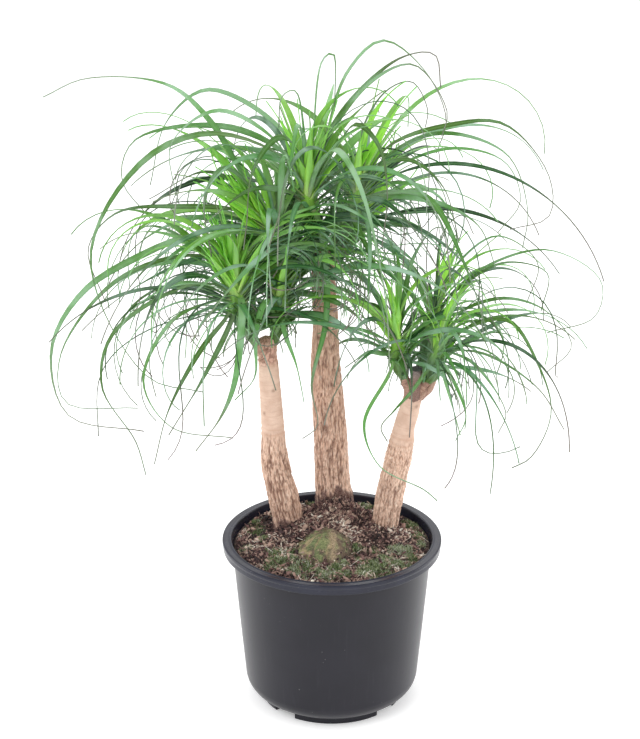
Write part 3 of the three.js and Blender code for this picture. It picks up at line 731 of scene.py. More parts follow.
# A trunk's skin: the smooth tube, then plates and cracks stretched along it where it is fissured, thin
# rings where it is not, wrinkles and knots, all added to the radius.
def makeTrunk(name, t, skin):
    path, radius, run, length, angle, girth = barGrid(t["stations"], t["rows"], t["columns"])
    seed, height = t["seed"], path[:, 2:] + 0 * angle
    fissured = 1 - ease(t["fissuredTo"] - t["fade"], t["fissuredTo"] + t["fade"],
                        height + 26 * bumps(girth / 14, seed, 2))
    wide = crackLines(girth * (0.22, 0.22, 0.034), seed + 1, 0.74, 0.97)
    narrow = crackLines(girth * (0.54, 0.54, 0.090), seed + 2, 0.66, 0.95)
    rings = crackLines(girth * (0.030, 0.030, 0.55), seed + 4, 0.76, 0.99, 2)
    folds = np.sin(run / 1.15 + 5 * layeredNoise(girth / 11, seed + 5, 2))
    (low, high), (bare, top) = t["wrinkled"], t["flushed"]
    wrinkled = ease(low - 6, low + 6, height) * (1 - ease(high - 6, high + 6, height))
    flushed = ease(bare - 4, bare + 8, height) * (1 - ease(top, top + 8, height))
    pits = flushed * crackLines(girth * (0.30, 0.30, 0.22), seed + 10, 0.60, 0.90, 2)
    lift = fissured * (2.3 * bumps(girth * (0.36, 0.36, 0.060), seed + 3, 3) - 1.2 * wide - 0.6 * narrow)
    lift += (1 - fissured) * (0.9 * bumps(girth / 9, seed + 6, 2) - 0.30 * rings) + wrinkled * 0.34 * folds
    lift += flushed * 3.8 * bumps(girth / 4.6, seed + 9, 3) - 1.3 * pits
    knotted = np.zeros_like(lift)
    for knotHeight, knotTurn, size, rise in t["knots"]:
        sideways = (np.degrees(angle) - knotTurn + 180) % 360 - 180
        off = np.hypot(height - knotHeight, np.radians(sideways) * radius) / size
        lift += rise * np.exp(-off ** 2) - 0.9 * rise * np.exp(-(off / 0.45) ** 2)
        knotted = np.maximum(knotted, np.exp(-((off - 0.15) / 0.5) ** 2))
    atBack, inFront = t["debris"]
    climbs = height + 46 * bumps(girth * (0.20, 0.20, 0.06), seed + 8, 3)
    debris = 1 - ease(-3, 5, climbs - between(inFront, atBack, 0.5 + 0.5 * np.sin(angle)))
    lift += 1.6 * debris * softNoise(girth / 2, 5)
    crack = t["cracked"] * fissured * (wide * 0.8 + narrow * 0.6) + 0.55 * knotted + 0.7 * pits
    ring = (1 - fissured) * rings * 0.62 + wrinkled * np.clip(-folds, 0, 1) * 0.6
    tube = ringsRound(path, (radius + lift) * domed(run, length, 9))
    # the bark darker and redder higher up, from 215 to 330 mm: partly warmer bark, partly painted shade under
    # the heads
    makeTube("trunk_" + name, tube, skin, "caudex_trunks", crack=np.clip(crack, 0, 1),
             ring=np.clip(ring, 0, 1), fissured=fissured, debris=debris, flushed=flushed,
             warmth=between(*t["warmth"], ease(215, 330, height)))


# What stands on the right trunk between its heads: the grey sawn end of an old branch, and a dry bud.
# Stations [x, y, z, radius] and how deep the end sinks in its middle
snags = {
    "sawn_branch": {"stations": [(88, 12, 345, 6.6), (88.5, 5, 364, 6.2), (89.5, 0.5, 386, 5.8)], "dish": 1.2,
                    "debris": 0.90, "grey": 1.0},
    "dry_bud": {"stations": [(94, 11, 350, 5.0), (103, 7, 359, 3.8), (109, 6, 371, 2.4)], "dish": -2.0,
                "debris": 0.40, "grey": 0.0},
}
snagSizes = {"rows": 40, "columns": 40, "closing": 7, "seed": 71}


# A short branch end: its tube, then rings that close over its end and sink by dish (1 - r^2)
def makeSnag(name, t, skin):
    s = snagSizes
    path, radius, run, length, angle, girth = barGrid(t["stations"], s["rows"], s["columns"])
    side = ringsRound(path, radius + 1.4 * bumps(girth * (0.30, 0.30, 0.12), s["seed"], 3))
    inward, middle = np.linspace(1, 0, s["closing"] + 2)[1:-1, None, None], side[-1].mean(axis=0)
    face = middle + (side[-1] - middle) * inward - unit(path[-1] - path[-2]) * t["dish"] * (1 - inward ** 2)
    none = np.zeros((s["closing"], s["columns"]))
    grey = np.vstack([0.75 * t["grey"] * ease(0.55, 0.95, run / length) + 0 * angle, t["grey"] + none])
    crack = np.vstack([crackLines(girth * (0.3, 0.3, 0.1), s["seed"] + 2, 0.7, 0.96) * 0.6, none])
    makeTube(name, np.concatenate([side, face]), skin, "caudex_trunks", crack=crack, fissured=0.7,
             debris=t["debris"] * (1 - grey), flushed=1, warmth=1, grey=grey)


# The skin that has torn round the right trunk's top: up from `low` to a ragged edge, then back inside.
# `share` and `out` give each ring's way up and its way out from the radius.
collarSizes = {"low": 349, "edge": 358, "radius": 9.4, "y": 14.2, "heights": (349, 372), "x": (86.8, 89.8),
               "share": (0, 0.35, 0.7, 1.0, 1.0, 0.0), "out": (0.2, 0.9, 1.4, 1.9, 0.8, -6), "columns": 120,
               "seed": 81}


# Rings round Z: radius + noise, each at its share of the way up to the ragged edge
def makeCollar(skin):
    c, angle = collarSizes, fullTurn(collarSizes["columns"])
    around = polar(2.2, angle)
    torn = c["edge"] + 3 * np.cos(angle) + 12 * (layeredNoise(around * 1.6, c["seed"], 3) - 0.35)
    share, out = (np.array(c[key], float)[:, None] for key in ("share", "out"))
    height = c["low"] + (torn - c["low"]) * share
    rings = polar(c["radius"] + out + 1.6 * bumps(around * 3, c["seed"] + 2, 2), angle, height)
    rings += xyz(np.interp(height, c["heights"], c["x"]), c["y"])
    makeTube("torn_skin", rings, skin, "caudex_trunks", crack=0.42 + 0.4 * (1 - share), flushed=1, warmth=1)


# The swollen foot: its mossy top stands out of the soil in front of the middle trunk
footSizes = {"lobe": (-7, -25, 162), "radii": (42, 48, 44.5), "rows": 90, "columns": 160,
             "root": (3, 18, 138), "rootRadii": (60, 60, 38), "seed": 61}


# Wood under streaks of moss, with pale splits, and peat where debris lies
def paintFoot(start, place):
    split, moss, strip, debris = start.values("split", "moss", "strip", "debris")
    fine, streaks = place.noise(0.9, 4), place.stretched(1, 1, 0.30).noise(0.20, 4)
    green = (fine * 0.5 + streaks * 0.5).ramp((0.36, (0.030, 0.048, 0.018)), (0.49, (0.095, 0.135, 0.048)),
                                              (0.60, (0.21, 0.23, 0.095)), (0.70, (0.36, 0.33, 0.17)))
    peat = fine.ramp((0.36, (0.022, 0.012, 0.011)), (0.66, (0.16, 0.088, 0.074)))
    wood = fine.ramp((0.3, (0.13, 0.092, 0.052)), (0.5, (0.29, 0.215, 0.130)), (0.7, (0.52, 0.40, 0.27)))
    colour = wood.coated(
        (moss * streaks.band(0.30, 0.46) * (1 - strip) * 0.95, green), (split * 0.55, (0.42, 0.33, 0.17)),
        (debris, peat))
    return {"Base Color": colour, "Roughness": fine * 0.2 + 0.72, "Normal": (fine + streaks).bump(0.8, 0.8)}


# A lobe: a ball stretched to its radii, with upright splits and dimples pressed into it
def makeFoot(skin):
    f = footSizes
    lat, lon = np.linspace(-np.pi / 2, np.pi / 2, f["rows"] + 2)[1:-1, None], fullTurn(f["columns"])
    out = polar(np.cos(lat), lon, np.sin(lat))
    around = polar(2.6, lon, 0.9 * lat) + 0.8 * layeredNoise(out * 4, f["seed"] + 4, 2)[..., None]
    split = crackLines(around, f["seed"], 0.70, 1.0)
    size = 1 + 0.13 * bumps(out * 5, f["seed"] + 2, 4) - 0.025 * split
    points = out * f["radii"] * size[..., None] + f["lobe"]
    ragged = bumps(out * 9, f["seed"] + 6, 3)
    back = ease(-0.14, 0.42, out[..., 1] + 1.3 * ragged)
    climbs = out[..., 2] + 1.3 * ragged - 0.45 * np.clip(out[..., 0] + 0.1, 0, 1)
    skirts = 0.8 * (1 - ease(0.44, 0.82, climbs))
    middle = (points[..., 0] - 2 + 12 * ragged) / 5.5
    makeTube("mossy_foot", points, skin, "caudex_trunks", split=split, moss=1 - 0.6 * split,
             debris=np.maximum(back, skirts), strip=np.exp(-middle ** 2))
    makeTube("buried_foot", out[::3, ::3] * f["rootRadii"] + f["root"], skin, "caudex_trunks", debris=1)


# Heads

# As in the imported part: each head grows from `base` along `axis`, on a stub that leaves its trunk at
# `from`. A traced leaf is [degrees round from +X, width, then points of reach, height and, if any, sideways].
# Of this model's own: `fuller` filling, `slimmer` leaves, how far down its arm leaf bases `sheath` it, and,
# by a traced leaf's place in its list, how it `tapers`, where not by chance, and its green's `tones`.
heads = {
    "middle_left": {
        "from": (-11, 50, 482), "base": (-46, 30, 505), "axis": (-0.55, -0.15, 0.8), "seed": 32, "grown": 14,
        "longest": 276, "fuller": 1.7, "traced": [
            (190, 10, (45, 80), (80, 145), (122, 185), (205, 195), (248, 178)),
            (192, 8, (50, 48), (115, 58), (180, 55), (210, 20), (195, -40)),
            (215, 9, (40, 70), (80, 105), (102, 78), (95, 10)), (188, 8, (40, 65), (85, 92), (145, 65))],
    },
    "middle_upright": {
        "from": (-11, 50, 488), "base": (-24, 38, 535), "axis": (-0.08, -0.05, 1), "seed": 27, "grown": 11,
        "longest": 292, "tapers": {15: 0.4}, "traced": [
            (172, 7, (25, 95), (105, 140), (150, 105), (170, 35)),
            (200, 8, (35, 90), (100, 130), (148, 100), (145, 45)),
            (182, 8, (20, 70), (85, 105), (180, 92), (195, 50), (165, 5)),
            (195, 9, (25, 70), (105, 106), (175, 85), (235, -10), (180, -150), (120, -175)),
            (205, 10, (20, 36), (75, 50), (135, 25)),
            (228, 9, (20, 85), (48, 102), (85, 75), (95, 20), (100, -5)),
            (252, 6, (20, 95), (38, 116), (60, 85), (100, 35), (135, 10)),
            (240, 8, (14, 22), (34, -10), (75, -38)),
            (10, 9, (15, 80), (40, 160), (76, 192), (120, 160), (145, 105), (135, 70)),
            (352, 9, (10, 75), (45, 135), (95, 180), (128, 184), (135, 150)),
            (344, 9, (15, 80), (65, 155), (110, 176), (145, 130), (140, 105)),
            (330, 9, (5, 95), (16, 176), (28, 184), (30, 125)),
            (190, 8, (5, 85), (15, 143), (28, 138), (32, 105)),
            (318, 9, (35, 85), (65, 118), (95, 100), (106, 55), (100, -5)),
            (284, 8, (35, 70), (120, 110), (220, 88), (296, 12), (312, -55)),
            (270, 8, (16, 10, 9), (24, -37, 17), (27, -101, 17), (28, -172, 2), (30, -219, 8),
             (32, -232, -8))],
    },
    "middle_right": {
        "from": (-11, 50, 490), "base": (22, 48, 535), "axis": (0.12, 0, 1), "seed": 25, "grown": 13,
        "longest": 320, "fuller": 0.66, "slimmer": 0.84, "tapers": {7: 0.5}, "traced": [
            (5, 8, (10, 100), (35, 140), (60, 148), (77, 118), (75, 100)),
            (355, 8, (35, 80), (100, 106), (155, 108), (203, 55), (205, 10), (165, -5)),
            (345, 7, (35, 55), (105, 86), (160, 75), (177, 35), (155, 0)),
            (0, 7, (35, 70), (90, 95), (160, 72), (184, 10), (180, -30)),
            (330, 9, (20, 55), (65, 75), (105, 52), (125, -5)),
            (336, 9, (20, 28), (90, 32), (140, 12), (160, -30)),
            (318, 9, (25, 32), (100, 45), (150, -15), (185, -90), (192, -108)),
            (270, 9, (13, 25, -2), (33, 9, 2), (48, -16, 15), (57, -46, 29), (61, -82, 40))],
    },
    "middle_back": {
        "from": (-11, 50, 480), "base": (22, 85, 505), "axis": (0.45, 0.6, 0.66), "seed": 41, "grown": 18,
        "longest": 241, "fuller": 0.5, "traced": [],
    },
    "left_outer": {
        "from": (-69, 20, 388), "base": (-98, 8, 440), "axis": (-0.12, -0.1, 1), "seed": 25, "grown": 13,
        "longest": 266, "fuller": 2.9, "slimmer": 0.90, "tapers": {6: 0.4}, "tones": {0: 0.50}, "traced": [
            (192, 9.5, (15, 70), (45, 92), (105, 75), (165, 40), (200, -20), (185, -95), (105, -120)),
            (183, 8, (25, 65), (70, 68), (135, 38), (190, -40), (186, -92), (110, -100)),
            (205, 8, (25, 40), (60, 44), (140, 5), (155, -50), (120, -120), (110, -160)),
            (212, 7, (30, 24), (80, 12), (115, -45), (85, -105), (10, -135)),
            (220, 7, (15, 6), (50, -22), (95, -80), (115, -135)), (232, 8, (12, 2), (55, -45), (115, -95)),
            (270, 10, (18, 27, 3), (30, -4, 3), (40, -60, -5), (46, -95, -20), (52, -130, -46))],
    },
    "left_inner": {
        "from": (-69, 20, 385), "base": (-56, 24, 432), "axis": (0.05, 0.1, 1), "seed": 14, "grown": 13,
        "longest": 270, "fuller": 1.6, "tapers": {1: 0.8}, "traced": [
            (235, 8, (25, 27), (42, 0), (45, -50), (80, -65)),
            (270, 6, (14, -2, 4), (26, -41, 18), (32, -81, 26)),
            (330, 9, (15, 30), (45, 36), (85, 27), (120, 0))],
    },
    "right_inner": {
        "from": (87, 14, 348), "base": (72, 4, 385), "axis": (-0.12, -0.1, 1), "seed": 12, "grown": 12,
        "longest": 230, "fuller": 0.66, "slimmer": 0.80, "sheath": 0.42, "tapers": {0: 1.25}, "traced": [
            (270, 5.6, (10, -3, -12), (18, -56, -38), (22, -104, -21), (26, -130, 27), (28, -142, 41)),
            (185, 8, (15, 32), (55, 48), (88, 42)), (198, 9, (15, 18), (35, 22), (62, 8)),
            (22, 9, (2, 65), (15, 125), (40, 152), (60, 136))],
    },
    "right_outer": {
        "from": (87, 14, 348), "base": (107, 4, 378), "axis": (0.2, -0.05, 0.97), "seed": 8, "grown": 12,
        "longest": 235, "fuller": 0.72, "slimmer": 0.70, "sheath": 0.42, "traced": [
            (350, 7, (20, 65), (70, 90), (115, 80), (145, 42), (120, 10)),
            (340, 7, (35, 55), (80, 71), (112, 30), (130, -25), (110, -80), (90, -95)),
            (322, 8, (12, 28), (50, 25), (93, -20), (85, -45)), (300, 7, (20, 8), (55, -50)),
            (312, 7, (25, 8), (50, -32), (36, -65)), (333, 6, (20, 30), (60, 33), (120, 5), (150, -35)),
            (270, 7, (12, 8, -8), (15, -12, -22), (16, -36, -42), (17, -54, -55), (18, -70, -48))],
    },
    "right_back": {
        "from": (88, 15, 352), "base": (103, 42, 400), "axis": (0.25, 0.4, 0.88), "seed": 97, "grown": 13,
        "longest": 242, "fuller": 0.50, "slimmer": 0.66, "traced": [
            (4, 6, (45, 75), (125, 102), (187, 65), (182, 25), (130, 8)),
            (0, 7, (20, 75), (70, 120), (115, 90), (105, 45)),
            (355, 6, (30, 60), (80, 93), (125, 82), (120, 40)),
            (350, 8, (8, 60), (14, 125), (34, 145), (46, 125))],
    },
}

# Of a head's stub and sheath: how far down its arm the leaf bases reach, radii along both, and grid sizes
coreSizes = {"sheath": 0.7, "stub": (7.0, 5.2, 4.0, 3.4), "arm": (4.6, 5.3, 7.0), "length": 44, "belly": 9,
             "bellyAt": 14, "tip": 3, "columns": 28, "stubRows": 50, "sheathRows": 32}
growthSteps = 60
nudges = [0, 4, -4, 8, -8, 13, -13, 19, -19, 26, -26, 34, -34, 43, -43]  # degrees that a leaf may be turned
tipReach = 0.8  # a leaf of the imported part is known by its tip, this close
bladeSizes = {"root": 0.6, "fullAt": 0.14, "thins": (0.28, 0.90), "thread": 1.3, "wiry": 0.95,
              "channel": 0.10, "clasp": 0.30, "thick": 0.85, "edge": 0.28,
              "stations": 33, "fillStations": 21, "pushOver": 5}

# The section of a blade: how far across (-1..1), and which face (1 upper, -1 lower, 0 edge)
sectionAcross = np.array([1, 0.5, 0, -0.5, -1, -0.5, 0, 0.5])
sectionFace = np.array([0, 1, 1, 1, 0, -1, -1, -1])


# A head's base and trunk end, its axis and the two directions square to it
def headFrame(head):
    up = unit(np.array(head["axis"], float))
    right = unit(np.array([1.0, 0, 0]) - up * up[0])
    return np.array(head["base"], float), np.array(head["from"], float), up, right, np.cross(up, right)


# How far down its arm a head's leaf bases reach
def sheathShare(head):
    return head.get("sheath", coreSizes["sheath"])


# Repeatable draws: state = state * 1664525 + 1013904223 modulo 2^32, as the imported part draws
def drawer(seed):
    state = [seed]

    def draw(low, high):
        state[0] = (state[0] * 1664525 + 1013904223) % 4294967296
        return low + (high - low) * state[0] / 4294967296
    return draw


# Where the middle of a traced leaf runs, and the level line across it
def tracedCourse(head, leaf, nudge, stations):
    base, _, up, _, _ = headFrame(head)
    heading = math.radians(leaf["round"] + nudge)
    cosine, sine = math.cos(heading), math.sin(heading)
    along, across = np.array([(cosine, sine, 0), (-sine, cosine, 0)])
    route = np.array([(*point, 0)[:3] for point in leaf["route"]], float)
    points = base + route[:, :1] * along + route[:, 2:] * across + route[:, 1:2] * (0, 0, 1)
    path, _ = smoothPath(np.vstack([base + up * coreSizes["length"] / 2, points]), stations)
    return path, np.tile(across, (stations, 1))


# A grown leaf sets out at its lean from the head's axis. Its heading turns by sway s^2, and its slope sinks
# from the first one to `finish` by s^ease, in equal steps.
def grownCourse(head, leaf, nudge, stations):
    base, start, up, right, away = headFrame(head)
    turn, lean = math.radians(leaf["round"] + nudge), math.radians(leaf["lean"])
    out = right * math.cos(turn) + away * math.sin(turn)
    first = up * math.cos(lean) + out * math.sin(lean)
    rise = math.asin(max(-1, min(1, first[2])))
    s = np.arange(growthSteps + 1) / growthSteps
    bearing = math.atan2(first[1], first[0]) + math.radians(leaf["sway"]) * s ** 2
    slope = rise - (rise - math.radians(leaf["finish"])) * s ** leaf["ease"]
    steps = polar(np.cos(slope), bearing, np.sin(slope)) * leaf["length"] / growthSteps
    stem = up if leaf["root"] > 0 else unit(base - start)
    path = base + stem * leaf["root"] + out * leaf.get("outset", 0)
    path = path + np.vstack([np.zeros(3), np.cumsum(steps[:-1], axis=0)])
    across = xyz(-np.sin(bearing), np.cos(bearing))
    even = np.linspace(0, growthSteps, stations)
    return tuple(np.stack([np.interp(even, np.arange(growthSteps + 1), c) for c in table.T], axis=1)
                 for table in (path, across))


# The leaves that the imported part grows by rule, from the lowest, which arch, to the heart, which stands
growth = {"spiral": 137.508, "spiralStray": 14, "root": (6, 39), "lean": (76, 7), "leanBend": 0.9,
          "leanStray": 8, "heart": (0.66, 0.95), "swell": (3.6, 0.75), "heartShortens": 0.52,
          "heartLifts": 120, "heartWidens": 0.25, "lengths": (0.85, 1.12), "finish": (-98, -40),
          "ease": (0.9, 1.5), "sway": (-40, 40), "width": (7, 9.5)}


# One leaf for each step up the stub, a golden angle further round
def grownLeaves(head):
    draw, g = drawer(head["seed"]), growth
    leaves = []
    for i in range(head["grown"]):
        f = i / (head["grown"] - 1)
        heart = float(ease(*g["heart"], f))
        swelling = 0.5 + 0.5 * math.sin(g["swell"][0] * min(f, g["swell"][1]))
        leaves.append({
            "course": grownCourse, "heart": heart, "root": between(*g["root"], f),
            "round": g["spiral"] * i + draw(-g["spiralStray"], g["spiralStray"]),
            "lean": between(*g["lean"], f ** g["leanBend"]) + draw(-g["leanStray"], g["leanStray"]),
            "length": head["longest"] * swelling * (1 - g["heartShortens"] * heart) * draw(*g["lengths"]),
            "finish": draw(*g["finish"]) + g["heartLifts"] * heart, "ease": draw(*g["ease"]),
            "sway": draw(*g["sway"]), "width": draw(*g["width"]) * (1 + g["heartWidens"] * heart)})
    return leaves


# The traced rows as leaves, with what the head says of single ones
def tracedLeaves(head):
    leaves = [{"course": tracedCourse, "heart": 0.12, "round": r, "width": w, "route": route}
              for r, w, *route in head["traced"]]
    for key, chosen in (("taper", "tapers"), ("tone", "tones")):
        for spot, value in head.get(chosen, {}).items():
            leaves[spot][key] = value
    return leaves


# More leaves for the same heads, by the same rule: a heart of broad upright ones, a vase and a crown of
# arching ones, a short skirt low on the stub, bases that hug it, and dry threads that curl under. `root` and
# `lean` run from a kind's lowest leaf to its highest, `heart` from its outer to its inner, and other pairs
# are the limits of a draw. `low` kinds count their root from the sheath's foot, and `outset` is how far off
# the axis they start.
fillColumns = ("count", "low", "outset", "root", "lean", "long", "finish", "ease", "width", "sway", "tone",
               "heart", "dry")
fillKinds = [
    (12, 0, 0, (16, 42), (25, 2), (0.24, 0.42), (20, 85), (1.0, 1.8), (11, 14), 25, (0.4, 1.0),
     (0.9, 1.0), 0.0),
    (9, 0, 0, (12, 36), (50, 10), (0.48, 0.88), (-115, -30), (1.2, 2.1), (7.5, 10.5), 45, (0.25, 1.0),
     (0.1, 0.55), 0.1),
    (13, 0, 0, (6, 34), (76, 26), (0.50, 1.02), (-150, -75), (0.95, 1.8), (3.2, 7.5), 70, (0.0, 1.0),
     (0.0, 0.2), 0.3),
    # The skirt's and the bases' tones stay low, so they are darker: painted shade low inside each head
    (26, 1, 0, (-1, 36), (106, 68), (0.18, 0.42), (-115, -30), (0.8, 1.5), (4, 7.5), 60, (0.0, 0.6),
     (0.0, 0.1), 0.5),
    (22, 1, 2.8, (-2, 30), (30, 8), (0.14, 0.32), (-60, 40), (1.0, 2.0), (5.5, 8.5), 20, (0.0, 0.55),
     (0.0, 0.35), 0.25),
    (19, 0, 0, (0, 34), (88, 22), (0.55, 1.12), (-290, -110), (0.8, 1.7), (1.2, 2.5), 130, (0.0, 0.5),
     (0.0, 0.0), 1.0),
]
fillRule = {"tries": 7, "turn": 23, "spiralStray": 20, "leanStray": 9, "room": 12.0, "boxRoom": 1.5,
            "trunkRoom": 2.5, "potRoom": (3, 6), "curtain": (78, 28)}


# Each kind's leaves, from its lowest to its highest, drawn within its limits
def fillLeaves(head):
    draw, rule = np.random.default_rng(head["seed"] + 1000), fillRule
    sheathed = sheathShare(head) * math.dist(head["base"], head["from"])
    leaves = []
    for k in (dict(zip(fillColumns, row)) for row in fillKinds):
        count = round(k["count"] * head.get("fuller", 1))
        for i in range(count):
            f = i / (count - 1)
            leaves.append({
                "heart": between(*k["heart"], f), "dry": k["dry"], "outset": k["outset"],
                "round": growth["spiral"] * i + draw.uniform(-rule["spiralStray"], rule["spiralStray"]),
                "root": between(*k["root"], f) - k["low"] * sheathed,
                "lean": between(*k["lean"], f) + draw.uniform(-1, 1) * rule["leanStray"],
                "length": head["longest"] * draw.uniform(*k["long"]), "finish": draw.uniform(*k["finish"]),
                "ease": draw.uniform(*k["ease"]), "sway": draw.uniform(-1, 1) * k["sway"],
                "width": draw.uniform(*k["width"]), "tone": draw.uniform(*k["tone"])})
    return leaves


# Gap from each point to the nearest trunk's skin
def trunkGap(points):
    gaps = []
    for trunk in trunks.values():
        stations = np.array(trunk["stations"], float)
        a, b = stations[:-1, :3], stations[1:, :3]
        t = np.clip(np.einsum("psk,sk->ps", points[:, None] - a, b - a) / ((b - a) ** 2).sum(axis=1), 0, 1)
        near = a + t[..., None] * (b - a)
        radius = between(stations[:-1, 3], stations[1:, 3], t)
        gaps.append((np.linalg.norm(points[:, None] - near, axis=2) - radius).min(axis=1))
    return np.min(gaps, axis=0)


# Places that stay open seen from the front: [left, right, low, high] on the upright plane through the trunks.
# The first kind keeps every filling leaf out, the second shows a heart, which only its own leaves cross.
clearings = np.array([(-83, -21, 150, 392), (-37, -20, 392, 430), (-21, 17, 150, 405), (17, 58, 150, 392),
                      (58, 114, 150, 345), (84, 95, 350, 382)])
hearts = np.array([(-116, -89, 462, 520), (-62, -43, 466, 509), (-38, -21, 552, 617), (24, 41, 568, 627),
                   (59, 74, 418, 470), (93, 111, 380, 428), (110, 123, 436, 470), (-78, -63, 532, 574)])
clearPlane = 30


# Whether points show in such places: each is carried along its line from the camera's place to that plane
def crosses(points, places):
    eye = np.array(stageSizes["cameraAt"]) / mm
    shown = eye + (points - eye) * ((clearPlane - eye[1]) / (points[:, 1:2] - eye[1]))
    x, z = shown[:, :1], shown[:, 2:]
    left, right, low, high = places.T
    return ((x > left) & (x < right) & (z > low) & (z < high)).any()


# Whether a filling leaf stays in its head's own room and the whole part's, off trunks, pot and soil, and out
# of the open places. Under its head it hangs in no curtain round the stub.
def hasRoom(head, leaf, path, nodeBox):
    rule, p = fillRule, potSizes
    low = np.maximum(nodeBox[0] - rule["room"], wholeBox[0] + rule["boxRoom"])
    high = np.minimum(nodeBox[1] + rule["room"], wholeBox[1] - rule["boxRoom"])
    reach, drop = rule["curtain"]
    near = np.linalg.norm(path[:, :2] - head["base"][:2], axis=1) < reach
    overPot = np.hypot(path[:, 0], path[:, 1]) < p["rimRadius"] + rule["potRoom"][0]
    return not (crosses(path, clearings)
                or leaf["heart"] < 0.7 and crosses(path[path[:, 1] < head["base"][1] - 6], hearts)
                or (path <= low).any() or (path >= high).any()
                or (near & (path[:, 2] < head["base"][2] - drop)).any()
                or (overPot & (path[:, 2] < p["rimTop"] + rule["potRoom"][1])).any()
                or trunkGap(path[len(path) // 8:]).min() <= rule["trunkRoom"])


# Blades round their middles: the level line across is made square to the run and rolled about it, first to
# bring the upper face to the front, then by a slow twist. The width grows to full by `fullAt` and falls over
# `thins`, as (1 - t^2 (3 - 2t))^(1.4 taper), to a round thread. The section is a shallow channel.
def bladeRings(paths, acrosses, widths, rolls, facing, tapers, waves):
    b = bladeSizes
    widths, rolls, facing, tapers, waves = (each[:, None] for each in (widths, rolls, facing, tapers, waves))
    s = np.linspace(0, 1, paths.shape[1])[None, :]
    ahead = unit(np.gradient(paths, axis=1))
    side = unit(acrosses - ahead * (ahead * acrosses).sum(axis=-1, keepdims=True))
    over = np.cross(ahead, side)
    front = np.tanh(3 * side[..., 1]) * facing * ease(0.06, 0.40, s)
    roll = (front + rolls * s ** 1.3 + waves * np.sin(7 * s + waves * 9) * s)[..., None]
    side, over = side * np.cos(roll) + over * np.sin(roll), over * np.cos(roll) - side * np.sin(roll)
    full = widths * np.minimum(1, b["root"] + (1 - b["root"]) * s / b["fullAt"])
    full = np.maximum(b["thread"], full * (1 - ease(*b["thins"], s)) ** (1.4 * tapers))[..., None]
    clasp = b["clasp"] * (1 - ease(0, 0.16, s))[..., None]
    lift = (b["channel"] + clasp) * full * np.abs(sectionAcross) ** 1.4
    thick = b["edge"] + (b["thick"] - b["edge"]) * (1 - sectionAcross ** 2)
    thick = thick * (1 + 0.8 * (1 - ease(0, 0.2, s))[..., None]) * np.minimum(1, full / 3 + 0.25)
    thick = thick + (1 - ease(b["thread"], 2.6, full)) * (b["wiry"] - thick) * (1 - 0.5 * sectionAcross ** 2)
    rise = lift + sectionFace * thick / 2
    return (paths[:, :, None] + side[:, :, None] * (full * sectionAcross / 2)[..., None]
            + over[:, :, None] * rise[..., None])


# A push along each blade, never less than what was asked for, that comes and goes over a few stations
def eased(push):
    reach = bladeSizes["pushOver"]
    for kind in (np.max, np.mean):
        padded = np.pad(push, ((0, 0), (reach, reach), (0, 0), (0, 0)), mode="edge")
        push = kind(np.lib.stride_tricks.sliding_window_view(padded, 2 * reach + 1, axis=1), axis=-1)
    return push


# Faces of many blades of one size of grid, each closed by a fan at both ends
def bladeFaces(count, rows, columns):
    fan, top, each = np.arange(1, columns - 1), (rows - 1) * columns, rows * columns
    ends = np.vstack([np.stack([0 * fan, fan + 1, fan], axis=1),
                      np.stack([0 * fan, fan, fan + 1], axis=1) + top])
    return repeated(ringQuads(rows, columns), each, count), repeated(ends, each, count)


# Green by tone, with wax bloom and a painted sheen, a yellow young base, a pale rib, fine veins and dry tips
def paintLeaf(start, place):
    along, across, tone, heart, under, dry = start.values("along", "across", "tone", "heart", "under", "dry")
    mottle, bloomAndSheen = place.noise(0.05, 3), place.noise(0.022, 3)
    veins = (across * 26).math("SINE", across * 26) * 0.5 + 0.5
    rib = 1 - across.math("ABSOLUTE", across).band(0.02, 0.22)
    green = tone.ramp((0.0, (0.003, 0.027, 0.004)), (0.35, (0.013, 0.074, 0.012)),
                      (0.72, (0.054, 0.190, 0.055)), (1.0, (0.150, 0.320, 0.130)))
    young = along.ramp((0.0, (0.84, 0.97, 0.38)), (0.30, (0.42, 0.84, 0.10)), (1.0, (0.135, 0.44, 0.055)))
    colour = green.coated(
        # whitish blue-green patches, more on paler leaves: partly wax bloom, partly painted sheen
        (bloomAndSheen.band(0.42, 0.60) * (tone * 0.55 + 0.16), (0.33, 0.470, 0.39)), (heart, young),
        (1 - along.band(0.0, 0.085), (0.56, 0.64, 0.30)), (under * 0.30, (0.20, 0.36, 0.21)),
        (rib * 0.22, (0.21, 0.43, 0.16)), (dry * along.band(0.52, 0.92), (0.180, 0.140, 0.138)))
    return {"Base Color": colour.shaded(veins * 0.12 + mottle * 0.35 + 0.92),
            "Roughness": mottle * 0.16 + 0.38 + under * 0.12,
            "Normal": (veins * 0.7 + mottle).bump(0.10, 0.5)}


# Values for the leaf material, one for each point of each blade
def bladeValues(shape, leaves, draw):
    def each(numbers):
        return np.reshape(numbers, (-1, 1, 1))
    values = {"along": np.linspace(0, 1, shape[1])[:, None], "across": sectionAcross,
              "under": sectionFace < 0, "tone": each([leaf.get("tone", draw.random()) for leaf in leaves]),
              "heart": each([leaf["heart"] for leaf in leaves]),
              "dry": np.clip(each([leaf.get("dry", 0.6) for leaf in leaves])
                             * draw.uniform(0.3, 1.3, (len(leaves), 1, 1)), 0, 1)}
    return {key: np.broadcast_to(numbers, shape).ravel() for key, numbers in values.items()}


# How a head's own leaves and its filling ones are drawn: limits of the taper, the roll either way, limits of
# how far they face the front, and a factor of their width
leafGroups = {"own": ((0.5, 0.8), 0.5, (0.3, 1.0), 0.92), "fills": ((0.5, 0.9), 1.3, (0.0, 0.7), 0.95)}


